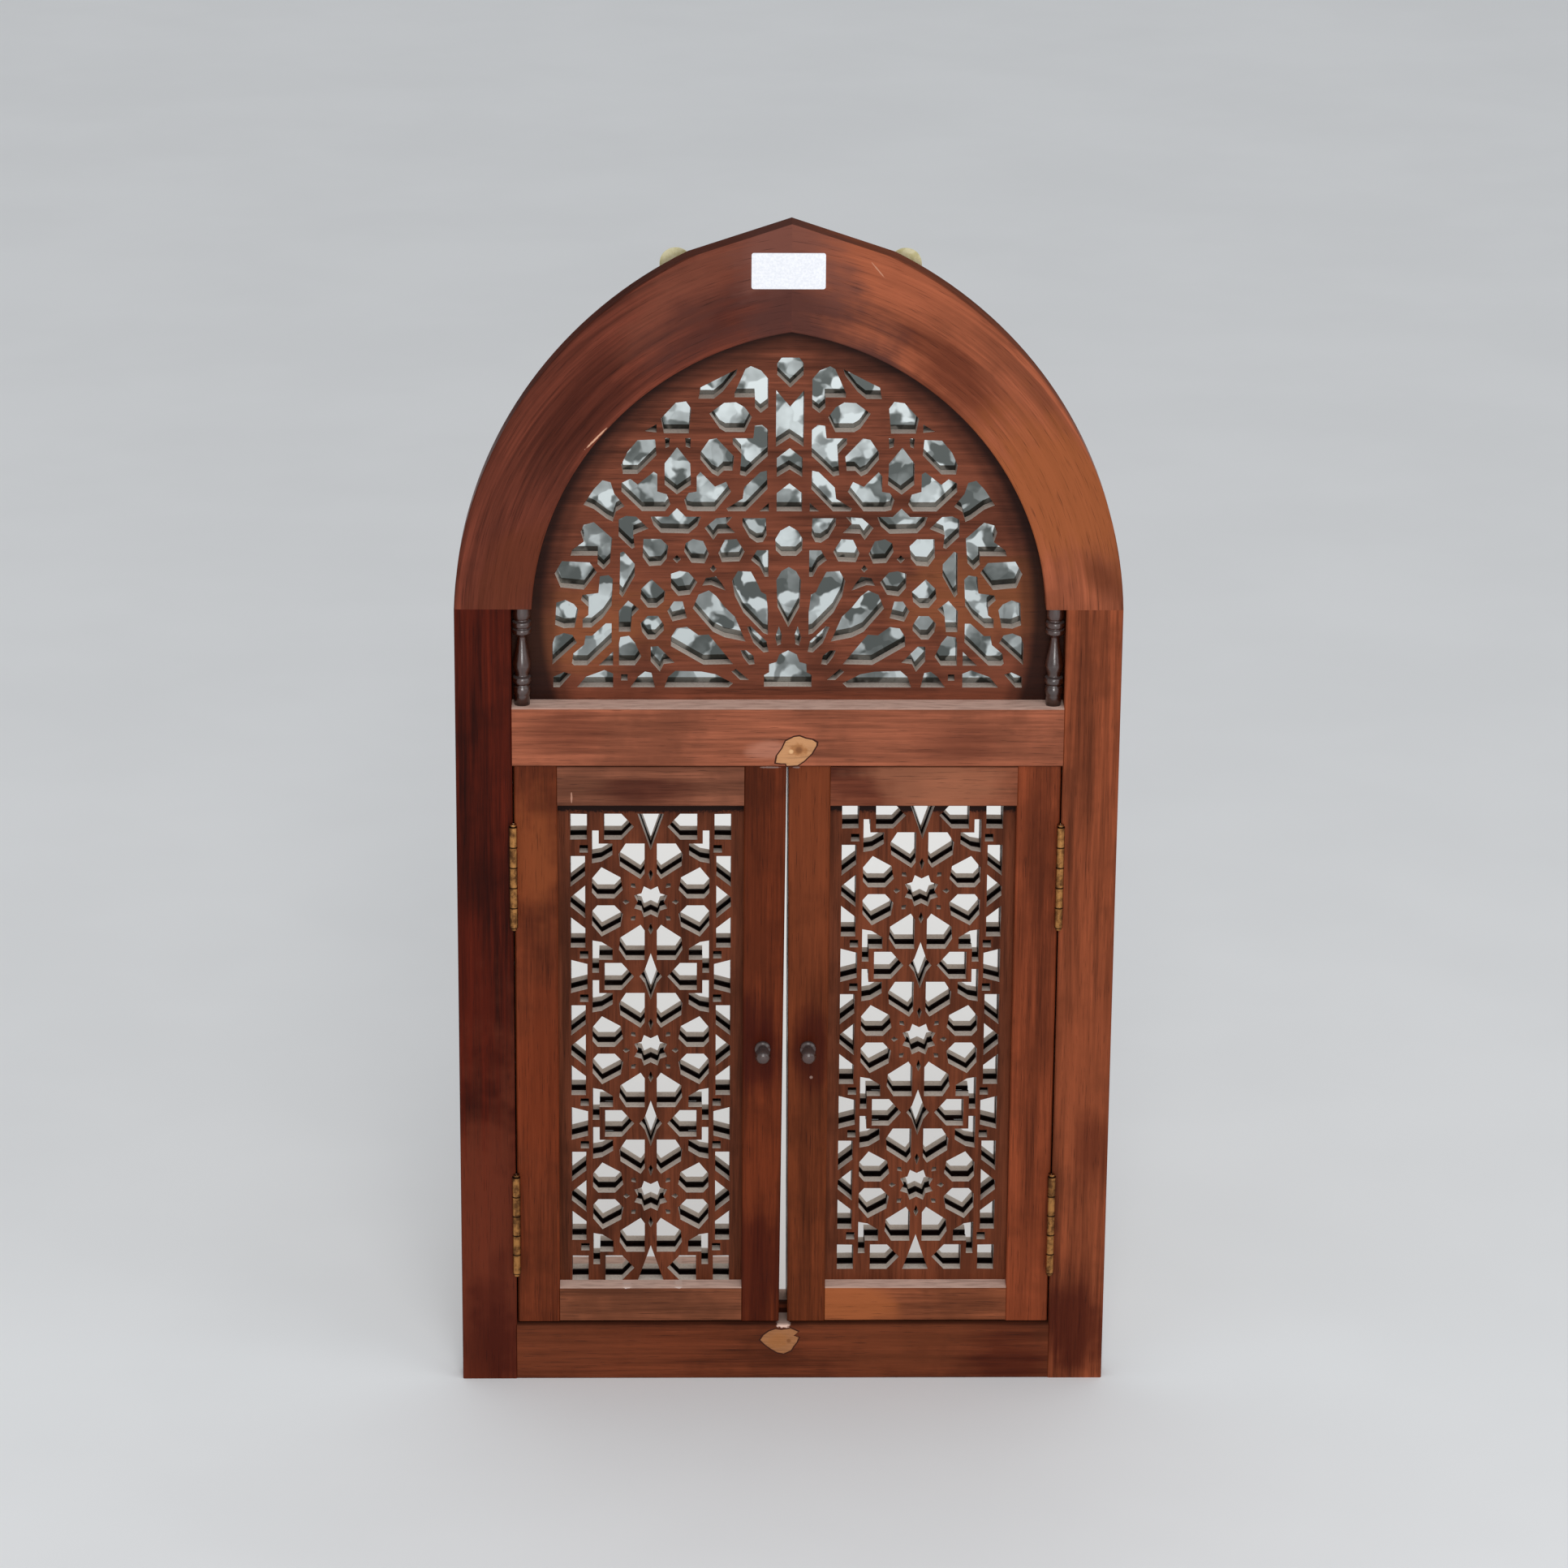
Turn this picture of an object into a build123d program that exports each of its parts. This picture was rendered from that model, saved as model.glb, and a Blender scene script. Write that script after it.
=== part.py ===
from build123d import *
import os
from math import cos, radians, sin, sqrt, tan

# A shallow mirror cabinet with a pointed-arch face frame, a pierced fretwork lunette
# and two doors with pierced panels that open over one tall mirror.
# Millimetres. +X to the viewer's right, +Y to the back, +Z up. The origin is on the
# floor, on the centre line, half way through the depth of the case.

# ---------------------------------------------------------------- driving sizes
WIDTH = 460.0                # over the face frame
STILE_W = 39.0               # face-frame stiles
STILE_H = 582.0              # top of the stiles, where the arch stands
FACE_T = 19.0                # face-frame boards
BOTTOM_RAIL_H = 43.0
MID_RAIL_H = 42.4            # rail between doors and lunette
COLONNETTE_H = 71.6          # from that rail to the foot of the arch

ARCH_OUT_X = 60.3            # centre of each outer curve, beyond the centre line
ARCH_OUT_DROP = 11.5         # and below the top of the stiles
ARCH_SHOULDER_X = 70.0       # where the straight run up to the point starts
ARCH_PEAK_SLOPE = 18.5       # degrees
ARCH_FOOT = 14.2             # how far each foot reaches in past its stile
ARCH_IN_X = 32.6             # centre of each inner curve, beyond the centre line
ARCH_IN_DROP = 10.6          # and below the top of the stiles

CASE_T = 14.0                # battens behind the face frame
BATTEN_W = 14.0
BOARD_T = 3.0                # backing board
BOARD_SIDE_INSET = 25.0      # from the frame's outer edge to the board's side
BOARD_SHOULDER_RISE = 98.0   # its shoulders above the stiles
BOARD_TOP_DROP = 42.0        # its top below the point of the arch
BOARD_TOP_HALF = 78.0
MIRROR_T = 3.0
MIRROR_SEAT_Z = 38.0         # the mirror stands on the bottom batten
DOOR_STOP_H = 3.0            # how far the stops reach past the rails
MID_BATTEN_H = 22.0

DOOR_T = 24.0
DOOR_RECESS = 3.0            # door face behind the frame face
DOOR_GAP = 1.0               # round each door
MEETING_GAP_TOP = 0.6        # from the centre line to each meeting stile
MEETING_GAP_BOTTOM = 3.0
CLOSING_BEVEL = 1.6          # taken off the back of each meeting edge, so that one door clears the other
DOOR_STILE_W = 30.0
DOOR_TOP_RAIL_H = 29.5
DOOR_BOTTOM_RAIL_H = 26.5

PANEL_T = 11.0               # pierced boards of the doors
PANEL_LAP = 6.0              # their lap in the doors' rebates
LUNETTE_LAP = 10.0           # the lunette's lap behind the face frame

TENON_T = 7.0
TENON_L = 20.0
TENON_SHOULDER = 7.0
LOOSE_TENON_W = 20.0         # in the joints of the arch
LOOSE_TENON_L = 36.0

COLONNETTE_CLEAR = 0.3       # from its thickest ring to the stile

KNOB_R = 5.7
KNOB_COLLAR_T = 2.2
KNOB_NECK_R = 3.0
KNOB_NECK_L = 8.4            # from the door face to the ball
KNOB_INSET = 14.2            # from the door's meeting edge

HINGE_L = 75.0
HINGE_LOW = 78.0             # from the door's foot to the middle of the lower hinge
HINGE_HIGH = 80.0            # from the door's top to the middle of the upper hinge
KNUCKLES = 5
BARREL_R = 2.9
BARREL_CLEAR = 0.25          # barrel to the face frame
LEAF_T = 1.6
LEAF_W = 16.0
PIN_R = 1.3
PIN_CLEAR = 0.05
FINIAL_R = 2.1
FINIAL_H = 1.8
KNUCKLE_GAP = 0.2            # between neighbouring knuckles

HANGER_X = 78.0              # brass hanging plates behind the board
HANGER_W = 22.0
HANGER_H = 42.0
HANGER_T = 1.6
HANGER_RISE = 16.4           # of its top above the board
HANGER_HOLE_R = 2.75
HANGER_HOLE_DROP = 9.5       # from the plate's top to its hole

SEAT = 0.15                  # clearance of a fixed piece in its seat
PANEL_SEAT = 0.3             # clearance round a panel, mirror or board
EDGE = 0.8                   # softened front edges
PANEL_SHIFT = 4.2            # the two door panels were cut out of step by this, each way
PATTERN_DROP = 1.0           # both patterns sit this far below the middle of the opening

# ---------------------------------------------------------------- worked-out sizes
HALF_W = WIDTH / 2
OPEN_X = HALF_W - STILE_W
DEPTH = FACE_T + CASE_T + BOARD_T
FRONT = -DEPTH / 2
CASE_Y = FRONT + FACE_T
BOARD_Y = CASE_Y + CASE_T
MIRROR_Y = BOARD_Y - MIRROR_T
MID_RAIL_TOP = STILE_H - COLONNETTE_H
MID_RAIL_Z = MID_RAIL_TOP - MID_RAIL_H

ARCH_OUT_R = sqrt((HALF_W + ARCH_OUT_X) ** 2 + ARCH_OUT_DROP ** 2)
ARCH_SHOULDER_Z = STILE_H - ARCH_OUT_DROP + sqrt(ARCH_OUT_R ** 2 - (ARCH_SHOULDER_X + ARCH_OUT_X) ** 2)
ARCH_PEAK_Z = ARCH_SHOULDER_Z + ARCH_SHOULDER_X * tan(radians(ARCH_PEAK_SLOPE))
ARCH_IN_R = sqrt((OPEN_X - ARCH_FOOT + ARCH_IN_X) ** 2 + ARCH_IN_DROP ** 2)
COLONNETTE_R = ARCH_FOOT / 2 - COLONNETTE_CLEAR

BOARD_SHOULDER_Z = STILE_H + BOARD_SHOULDER_RISE
BOARD_TOP_Z = ARCH_PEAK_Z - BOARD_TOP_DROP
HANGER_TOP_Z = BOARD_TOP_Z + HANGER_RISE
LUNETTE_BACK = MIRROR_Y - PANEL_SEAT

DOOR_Y = FRONT + DOOR_RECESS
DOOR_BACK = DOOR_Y + DOOR_T
DOOR_X = OPEN_X - DOOR_GAP
DOOR_Z0 = BOTTOM_RAIL_H + DOOR_GAP
DOOR_Z1 = MID_RAIL_Z - DOOR_GAP
PANEL_Y = DOOR_BACK - PANEL_T
DOOR_OPEN_X0 = DOOR_STILE_W
DOOR_OPEN_X1 = DOOR_X - DOOR_STILE_W
DOOR_OPEN_Z0 = DOOR_Z0 + DOOR_BOTTOM_RAIL_H
DOOR_OPEN_Z1 = DOOR_Z1 - DOOR_TOP_RAIL_H
HINGE_Z = (DOOR_Z0 + HINGE_LOW, DOOR_Z1 - HINGE_HIGH)
KNOB_Z = (DOOR_Z0 + DOOR_Z1) / 2

BARREL_X = OPEN_X - DOOR_GAP / 2
BARREL_Y = FRONT - BARREL_R - BARREL_CLEAR
LEAF_FRONT = BARREL_Y + BARREL_R + 0.35      # leaves stop clear of the other leaf's knuckles


# ---------------------------------------------------------------- helpers
def block(x0, x1, y0, y1, z0, z1):
    """A box from its corners."""
    return Pos((x0 + x1) / 2, (y0 + y1) / 2, (z0 + z1) / 2) * Box(x1 - x0, y1 - y0, z1 - z0)


def slab(face, y0, y1):
    """Extrude a face drawn with x across and y up so that it fills y0..y1 in depth."""
    return Rot(90, 0, 0) * extrude(Pos(0, 0, -y1) * face, y1 - y0, dir=(0, 0, 1))


def outline(points):
    """A closed wire through the points."""
    return Wire.make_polygon([Vector(x, y, 0) for x, y in points], close=True)


def other_side(shape):
    """The same piece on the other side of the centre line."""
    return mirror(shape, about=Plane.YZ)


def flip(points):
    """The same cell on the other side of the centre line."""
    return [(-x, y) for x, y in reversed(points)]


def polar(radius, degrees):
    """The point at that radius and angle."""
    return (radius * cos(radians(degrees)), radius * sin(radians(degrees)))


def soften(part, y, along):
    """Ease the edges of the face at depth y that run along an axis."""
    edges = [e for e in part.edges().filter_by(along) if abs(e.center().Y - y) < 0.01]
    return chamfer(edges, EDGE)


def tenon(x, z0, z1, y):
    """A tenon about the shoulder line x, TENON_L long, with its mortise allowance added later."""
    return block(x - TENON_L, x + TENON_L, y - TENON_T / 2, y + TENON_T / 2,
                 z0 + TENON_SHOULDER, z1 - TENON_SHOULDER)


def mortise(x, z0, z1, y):
    """The pocket for that tenon."""
    return block(x - TENON_L - SEAT, x + TENON_L + SEAT, y - TENON_T / 2 - SEAT, y + TENON_T / 2 + SEAT,
                 z0 + TENON_SHOULDER - SEAT, z1 - TENON_SHOULDER + SEAT)


# ---------------------------------------------------------------- arch outlines
def inner_springing(radius):
    """Half width of the inner curve at the top of the stiles."""
    return sqrt(radius ** 2 - ARCH_IN_DROP ** 2) - ARCH_IN_X


def inner_peak(radius):
    """Height of the inner curve on the centre line."""
    return STILE_H - ARCH_IN_DROP + sqrt(radius ** 2 - ARCH_IN_X ** 2)


def arch_curve(radius, side):
    """Inner curve from the springing to the centre line, on one side (-1 left, 1 right)."""
    start = (side * inner_springing(radius), STILE_H)
    end = (0, inner_peak(radius))
    x, z = polar(radius, 40)
    return ThreePointArc(start, (side * (x - ARCH_IN_X), STILE_H - ARCH_IN_DROP + z), end)


def arch_half():
    """Left half of the arch, from its foot on the stile to the joint at the point."""
    x, z = polar(ARCH_OUT_R, 35)
    middle = (ARCH_OUT_X - x, STILE_H - ARCH_OUT_DROP + z)
    springing = (-HALF_W, STILE_H)
    shoulder = (-ARCH_SHOULDER_X, ARCH_SHOULDER_Z)
    edges = Curve() + [
        Polyline((-inner_springing(ARCH_IN_R), STILE_H), springing),
        ThreePointArc(springing, middle, shoulder),
        Polyline(shoulder, (0, ARCH_PEAK_Z), (0, inner_peak(ARCH_IN_R))),
        arch_curve(ARCH_IN_R, -1),
    ]
    half = slab(make_face(edges), FRONT, CASE_Y)
    curved = [e for e in half.edges().filter_by(GeomType.CIRCLE) if abs(e.center().Y - FRONT) < 0.01]
    return chamfer(curved, EDGE) - foot_tenon(SEAT) - peak_tenon(SEAT)


def lunette_face(lap, side, base):
    """The pointed-arch opening grown by a lap, on a straight base between the stiles."""
    radius = ARCH_IN_R + lap
    foot = inner_springing(radius)
    edges = Curve() + [
        arch_curve(radius, 1),
        arch_curve(radius, -1),
        Polyline((-foot, STILE_H), (-side, STILE_H), (-side, base), (side, base), (side, STILE_H),
                 (foot, STILE_H)),
    ]
    return make_face(edges)


# ---------------------------------------------------------------- pierced work
# The door pattern, drawn for an opening of this width and height. A repeat is square.
DOOR_DRAWING = (130.0, 367.0)
REPEAT = 112.5
REPEATS = 3
# One quarter of a repeat, from the centre of the star. Each cell is mirrored both ways.
STAND_PETAL = [(4.3, 43.7), (17.5, 43.7), (22.3, 36), (21.6, 27), (7.2, 17.2), (4.3, 21.5)]
SIDE_PETAL = [(21.2, 18.4), (34.5, 26), (41.2, 17.5), (41.2, 7), (37.5, 2.6), (25.5, 2.6), (19.6, 9)]
BOOT = [(36.4, 53.4), (41.2, 53.4), (41.2, 29), (34.6, 30.2), (26.8, 35.2), (26.8, 43.6), (36.4, 43.6)]
SQUARE_HOLE = [(43.9, 42.6), (49.9, 42.6), (49.9, 37), (43.9, 37)]
EDGE_CELL = [(46, 34.3), (56.3, 34.3), (56.3, 11.4), (46, 19.8)]
EDGE_WEDGE = [(46, 12.2), (56.3, 3.4), (56.3, -3.4), (46, -12.2)]
# The row between two repeats, from the middle of the tall diamond.
ARROW = [(32.6, 10.2), (20.5, 10.2), (11.8, 0), (20.5, -10.2), (32.6, -10.2)]
CORNER_CELL = [(44.6, 9.4), (56.3, 12.6), (56.3, -12.6), (44.6, -9.4)]
DIAMOND = [(0, 17.5), (4.2, 5), (8, 0), (4.2, -5), (0, -17.5), (-4.2, -5), (-8, 0), (-4.2, 5)]
ROW_HALF = 9.6               # the end rows stop at this height past their middle


def star(points, tip, waist, turn):
    """A star outline with its first tip at the angle turn."""
    step = 180 / points
    return [polar(tip if i % 2 == 0 else waist, turn + i * step) for i in range(2 * points)]


def kite(inner, outer, half_width, degrees):
    """A small kite on a ray, widest two thirds of the way out."""
    middle = inner + (outer - inner) * 0.6
    ray = [(inner, 0), (middle, -half_width), (outer, 0), (middle, half_width)]
    turn = radians(degrees)
    return [(x * cos(turn) - y * sin(turn), x * sin(turn) + y * cos(turn)) for x, y in ray]


def four_ways(cell):
    """A cell of one quarter, in all four."""
    down = [(x, -y) for x, y in reversed(cell)]
    return [cell, flip(cell), down, flip(down)]


def repeat_cells():
    """All cells of one door repeat, about its star."""
    cells = [star(8, 12.6, 9.2, 22.5)]
    cells += [kite(15.5, 24.5, 1.7, 90), kite(15.5, 24.5, 1.7, -90)]
    cells += [kite(14.8, 19.6, 1.9, angle) for angle in (0, 45, 135, 180, 225, 315)]
    for quarter in (STAND_PETAL, SIDE_PETAL, BOOT, SQUARE_HOLE, EDGE_CELL):
        cells += four_ways(quarter)
    cells += [EDGE_WEDGE, flip(EDGE_WEDGE)]
    return cells


def row_cells(end):
    """Cells of the row between repeats; end is 1 at the top row, -1 at the bottom, else 0."""
    cells = []
    for cell in (ARROW, CORNER_CELL):
        limited = [(x, min(max(y, -ROW_HALF), ROW_HALF)) for x, y in cell] if end else cell
        cells += [limited, flip(limited)]
    if end:
        cells.append([(-4.2, -5 * end), (0, -17.5 * end), (4.2, -5 * end), (9.2, ROW_HALF * end),
                      (-9.2, ROW_HALF * end)])
    else:
        cells.append(DIAMOND)
    return cells


def door_panel(shift):
    """Pierced panel of a door, its cells moved up by shift."""
    wide = (DOOR_OPEN_X1 - DOOR_OPEN_X0) / DOOR_DRAWING[0]
    tall = (DOOR_OPEN_Z1 - DOOR_OPEN_Z0) / DOOR_DRAWING[1]
    middle_x = (DOOR_OPEN_X0 + DOOR_OPEN_X1) / 2
    middle_z = (DOOR_OPEN_Z0 + DOOR_OPEN_Z1) / 2 - PATTERN_DROP + shift
    placed = []
    for row in range(REPEATS):
        placed += [(cell, row - (REPEATS - 1) / 2) for cell in repeat_cells()]
    for row in range(REPEATS + 1):
        end = {0: -1, REPEATS: 1}.get(row, 0)
        placed += [(cell, row - REPEATS / 2) for cell in row_cells(end)]
    holes = [outline([(middle_x + x * wide, middle_z + (row * REPEAT + y) * tall) for x, y in cell])
             for cell, row in placed]
    lap = PANEL_LAP - PANEL_SEAT
    x0, x1 = DOOR_OPEN_X0 - lap, DOOR_OPEN_X1 + lap
    z0, z1 = DOOR_OPEN_Z0 - lap, DOOR_OPEN_Z1 + lap
    board = Face(outline([(x0, z0), (x1, z0), (x1, z1), (x0, z1)]), holes)
    return slab(board, PANEL_Y, DOOR_BACK)


# The lunette pattern, drawn for a pointed opening of this half width and height: x from the
# centre line, height above the mid rail. Cells of the right half, from the crown down.
LUNETTE_DRAWING = (191.0, 268.2)
FIELD = [
    [(36, 237.5), (61, 224.5), (62.5, 216.5), (52, 216.5), (46, 221.5), (37, 233.5)],
    [(15, 230.5), (20, 236.5), (27, 239.5), (30.5, 237.5), (38, 220.5), (38, 217.5), (24, 217.5),
     (24, 210.5), (20, 206.5), (15, 210.5)],
    [(26, 203.5), (31, 210.5), (37, 214), (45, 213.5), (55, 206), (48, 195.5), (44, 193), (31, 193)],
    [(67.5, 209.5), (71, 214.5), (78, 213.5), (88, 202.5), (86, 192), (69, 192)],
    [(91, 198.5), (99, 193.5), (91, 192.5)],
    [(15, 194.5), (19, 198), (24, 197.5), (25, 188.5), (39, 188.5), (39, 184.5), (33, 177.5), (34, 162.5),
     (30, 161.5), (23, 168.5), (15, 176)],
    [(38, 175.5), (50, 188.5), (55, 187.5), (61, 178.5), (61, 173.5), (53, 163.5), (49, 161.5), (45, 165.5),
     (39, 165.5)],
    [(67.6, 188.5), (71.5, 188.5), (71, 182.5), (68, 181.5)],
    [(81.9, 188.5), (85.4, 188.5), (84.9, 181.5), (82.4, 182.5)],
    [(77, 182), (85.5, 170.5), (85.5, 155.5), (77, 148.5), (67.5, 155.5), (68, 170.5)],
    [(92, 187.5), (104, 187), (111, 178.5), (115, 169.5), (114, 163), (104, 163), (91, 176.5)],
    [(15.5, 165.5), (20, 164.5), (31, 153.5), (32, 145.5), (43, 138.5), (42, 136.5), (30, 136.5),
     (15, 152.5)],
    [(14, 142.5), (14, 136.5), (20.5, 136.5)],
    [(40, 150.5), (43.5, 157.5), (51, 154), (61, 164.5), (63.5, 161.5), (63.5, 150.5), (69, 149.5),
     (72, 144.5), (70, 137.5), (66, 136.5), (51, 136.5)],
    [(81.5, 141.5), (84, 148.5), (90.5, 150.5), (90.5, 163), (93, 164.5), (104, 155.5), (109, 159.5),
     (115, 156.5), (115, 150.5), (101, 136.5), (85, 136.5)],
    [(113, 140), (120, 149), (122.5, 157), (128, 158.5), (134, 152), (141, 141), (134, 138), (125, 131),
     (121, 129), (119, 136)],
    [(16, 131.5), (32, 131.5), (32, 126.5), (27, 117.5), (22, 114), (18, 114.5), (15.5, 119.5)],
    [(39, 132.5), (50, 131.5), (58, 124.5), (52, 116), (49, 120.5), (37, 121), (43, 127.5)],
    [(60.5, 132.5), (71, 132.5), (77, 138.5), (83, 132.5), (95, 132.5), (93, 126.5), (88, 121), (69, 120.5),
     (63, 126)],
    [(96.5, 124), (105, 132.5), (112, 133), (117, 130.5), (117, 118.5), (108, 109.5), (106, 110.5),
     (107, 119.5)],
    [(14, 108.5), (22, 108.5), (26, 101.5), (20, 96.5), (16.5, 89.5), (14, 89.5)],
    [(36, 116.5), (30.5, 107.5), (34, 100.5), (46, 100), (48.5, 106.5), (44, 116)],
    [(59, 115), (66, 116.5), (71, 113.5), (72, 107.5), (67, 99.5), (58, 99), (55, 106)],
    [(83, 111.5), (88, 116.5), (100, 116.5), (100.5, 103.5), (96, 97), (88, 97.5), (84, 102.5)],
    [(43.5, 79.5), (46, 84.5), (50, 89.5), (57, 88.5), (59.5, 83), (53.5, 83.5)],
    [(69, 92.5), (63, 85.5), (68, 76.5), (76, 75.5), (81, 81.5), (81, 91.5), (75, 93.5)],
    [(94.5, 87.5), (101.5, 80.5), (102, 73.5), (97, 67), (91, 67), (86, 71.5), (85, 78.5)],
    [(70, 59.5), (73, 71.5), (79, 71.5), (83.5, 64.5), (80, 57)],
    [(86, 54.5), (90, 61), (97, 61), (102, 55.5), (101, 49.5), (97, 44), (92, 44), (86, 50.5)],
    [(110.5, 72), (103, 66), (108, 60.5), (109, 49.5), (117, 49.5), (117, 64.5)],
    [(113.7, 107.5), (116, 106.5), (116.5, 77), (114.5, 74.5), (106, 90), (106, 98.5)],
    [(134, 128.5), (141, 126.5), (143, 121.5), (141, 114.5), (149, 108.5), (150, 104.5), (131.5, 104.5),
     (131.5, 98.5), (127.5, 94.5), (123, 99.5), (121.5, 117)],
    [(132, 92.5), (137, 99.5), (156, 100.5), (161, 91.5), (157, 81.5), (141, 80), (137, 85.5)],
    [(121, 87.5), (124, 90.5), (130, 89.5), (131, 77.5), (142, 76), (143, 72.5), (138, 67.5), (138, 61.5),
     (142, 58.5), (142, 52.5), (136, 52.5), (128, 59.5), (122, 68.5)],
    [(145, 65.5), (148, 69.5), (154, 72.5), (160, 70.5), (161, 54.5), (155, 52), (147.5, 52.5)],
    [(78.5, 27), (90, 39), (95, 38.5), (95, 28), (88.7, 20.5), (86, 26)],
    [(101.5, 31.5), (106, 41.5), (110, 46.5), (116, 45.5), (117, 40.5), (117, 25), (106, 25)],
    [(121, 35), (121, 25), (131, 25)],
    [(122, 55.5), (126, 55.5), (135.5, 46.5), (140, 46.5), (141, 40), (148.5, 33.5), (149.5, 26.5),
     (148, 25), (139, 25), (122, 42)],
    [(146, 41.5), (149, 47), (155, 48.5), (161, 46), (163, 40.5), (163, 25.5)],
    [(92, 9), (109, 9), (104, 16.5), (99, 20.5), (94.5, 19.5)],
    [(111, 18.5), (115.5, 18.5), (115.5, 14), (111, 14)],
    [(121, 9), (121, 19), (127, 21.5), (140, 16.5), (146, 9)],
    [(150, 18.5), (155, 20), (162.5, 16.5), (162.5, 9), (158, 9)],
    [(49.8, 95), (52, 98), (54.2, 95), (52, 92.6)],
    [(74.3, 102), (77, 105), (79.7, 102), (77, 99.2)],
]
# Half a hand-drawn sixteen-fold rosette low on the centre line, also its right half: long
# petals, then the small kites between them.
ROSETTE = [
    [(14, 47.5), (14, 64.5), (15.5, 76.5), (19, 78.5), (21, 83.5), (26, 93), (35, 93.5), (39, 86.5),
     (37, 75.5), (31, 63.5), (17, 48.5)],
    [(29.5, 42.5), (37, 60.5), (44, 67.5), (50, 75.5), (55, 79.5), (62, 76.5), (66, 66.5), (52, 49.5),
     (44, 45.5)],
    [(38, 26), (58.5, 25.5), (81, 39), (81, 45.5), (77, 52), (70, 53), (62, 47), (55, 47.5)],
    [(38, 12), (50, 18.5), (60, 20.5), (78, 21), (83, 16.5), (85.5, 9), (41, 9)],
    [(6.5, 53.5), (9, 45.5), (7.5, 39.5), (5, 40.5), (4.5, 47.5)],
    [(13.5, 35), (17, 34.5), (24, 41.5), (28.5, 53), (26, 53.5), (15, 42.5)],
    [(23, 26), (27, 25.5), (31, 31), (33, 36), (29, 36), (24, 32)],
    [(27, 14.5), (33, 14.5), (39, 20.5), (36, 22.5)],
]
CENTRE_COLUMN = [
    [(-9, 241.5), (-6, 245.5), (6, 245.5), (9, 241.5), (9, 233.5), (0, 224.5), (-9, 233.5)],
    [(-9.5, 222.5), (0, 211), (9.5, 222.5), (9.5, 182.5), (0, 189), (-9.5, 182.5)],
    [(-8.8, 174.5), (0, 181.5), (8.8, 174.5), (8.8, 161), (0, 166.5), (-8.8, 161)],
    [(-8.7, 136.5), (8.7, 136.5), (8.7, 149.5), (0, 156.5), (-8.7, 149.5)],
    [(-6, 122.5), (0, 126), (6, 122.5), (9.4, 116.5), (9, 108.5), (5, 104.5), (-5, 104.5), (-9, 108.5),
     (-9.4, 116.5)],
]
EYE = [(16.5, 9.5), (16.5, 18), (13, 20), (13, 26), (8, 27.5), (6, 33), (0, 36)]
UPRIGHT_PETAL = [(0, 53), (7.5, 67.5), (8.5, 87), (5, 93.5), (0, 96.5)]


def lunette_panel():
    """Pierced lunette behind the arch."""
    wide = OPEN_X / LUNETTE_DRAWING[0]
    tall = (inner_peak(ARCH_IN_R) - MID_RAIL_TOP) / LUNETTE_DRAWING[1]
    cells = CENTRE_COLUMN + [EYE + flip(EYE)[1:], UPRIGHT_PETAL + flip(UPRIGHT_PETAL)[1:-1]]
    for cell in FIELD + ROSETTE:
        cells += [cell, flip(cell)]
    holes = [outline([(x * wide, MID_RAIL_TOP + y * tall) for x, y in cell]) for cell in cells]
    board = lunette_face(LUNETTE_LAP, OPEN_X - PANEL_SEAT, MID_RAIL_TOP - LUNETTE_LAP)
    return slab(Face(board.face().outer_wire(), holes), CASE_Y, LUNETTE_BACK)


# ---------------------------------------------------------------- face frame
def frame_stile():
    """Left stile with mortises for the rails and the arch, and the hinge recesses."""
    stile = soften(block(-HALF_W, -OPEN_X, FRONT, CASE_Y, 0, STILE_H), FRONT, Axis.Z)
    mid_y = FRONT + FACE_T / 2
    stile -= mortise(-OPEN_X, 0, BOTTOM_RAIL_H, mid_y)
    stile -= mortise(-OPEN_X, MID_RAIL_Z, MID_RAIL_TOP, mid_y)
    stile -= foot_tenon(SEAT)
    for z in HINGE_Z:
        stile -= block(-OPEN_X - LEAF_T, -OPEN_X + SEAT, FRONT - SEAT, FRONT + LEAF_W + SEAT,
                       z - HINGE_L / 2 - SEAT, z + HINGE_L / 2 + SEAT)
    return stile


def foot_tenon(grow=0.0):
    """Loose tenon between a stile and the foot of the arch, left side; grow gives its mortise."""
    middle = Pos(-HALF_W + STILE_W / 2, FRONT + FACE_T / 2, STILE_H)
    return middle * Box(LOOSE_TENON_W + 2 * grow, TENON_T + 2 * grow, LOOSE_TENON_L + 2 * grow)


def peak_tenon(grow=0.0):
    """Loose tenon across the joint at the point of the arch."""
    middle = Pos(0, FRONT + FACE_T / 2, (inner_peak(ARCH_IN_R) + ARCH_PEAK_Z) / 2)
    return middle * Box(LOOSE_TENON_L + 2 * grow, TENON_T + 2 * grow, LOOSE_TENON_W + 2 * grow)


def frame_rail(z0, z1):
    """Face-frame rail with a tenon at each end."""
    rail = soften(block(-OPEN_X, OPEN_X, FRONT, CASE_Y, z0, z1), FRONT, Axis.X)
    mid_y = FRONT + FACE_T / 2
    return rail + tenon(-OPEN_X, z0, z1, mid_y) + tenon(OPEN_X, z0, z1, mid_y)


# Turned profile of a colonnette: share of its greatest radius, share of its height.
COLONNETTE_PROFILE = [(1, 0), (1, 0.04), (0.7, 0.04), (0.7, 0.17), (0.97, 0.17), (0.97, 0.26), (0.64, 0.26),
                      (0.64, 0.3), (0.97, 0.4), (0.42, 0.63), (0.95, 0.63), (0.95, 0.73), (0.68, 0.73),
                      (0.68, 0.75), (0.92, 0.75), (0.92, 0.81), (0.66, 0.81), (0.66, 0.84), (0.9, 0.84),
                      (0.9, 1)]


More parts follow.
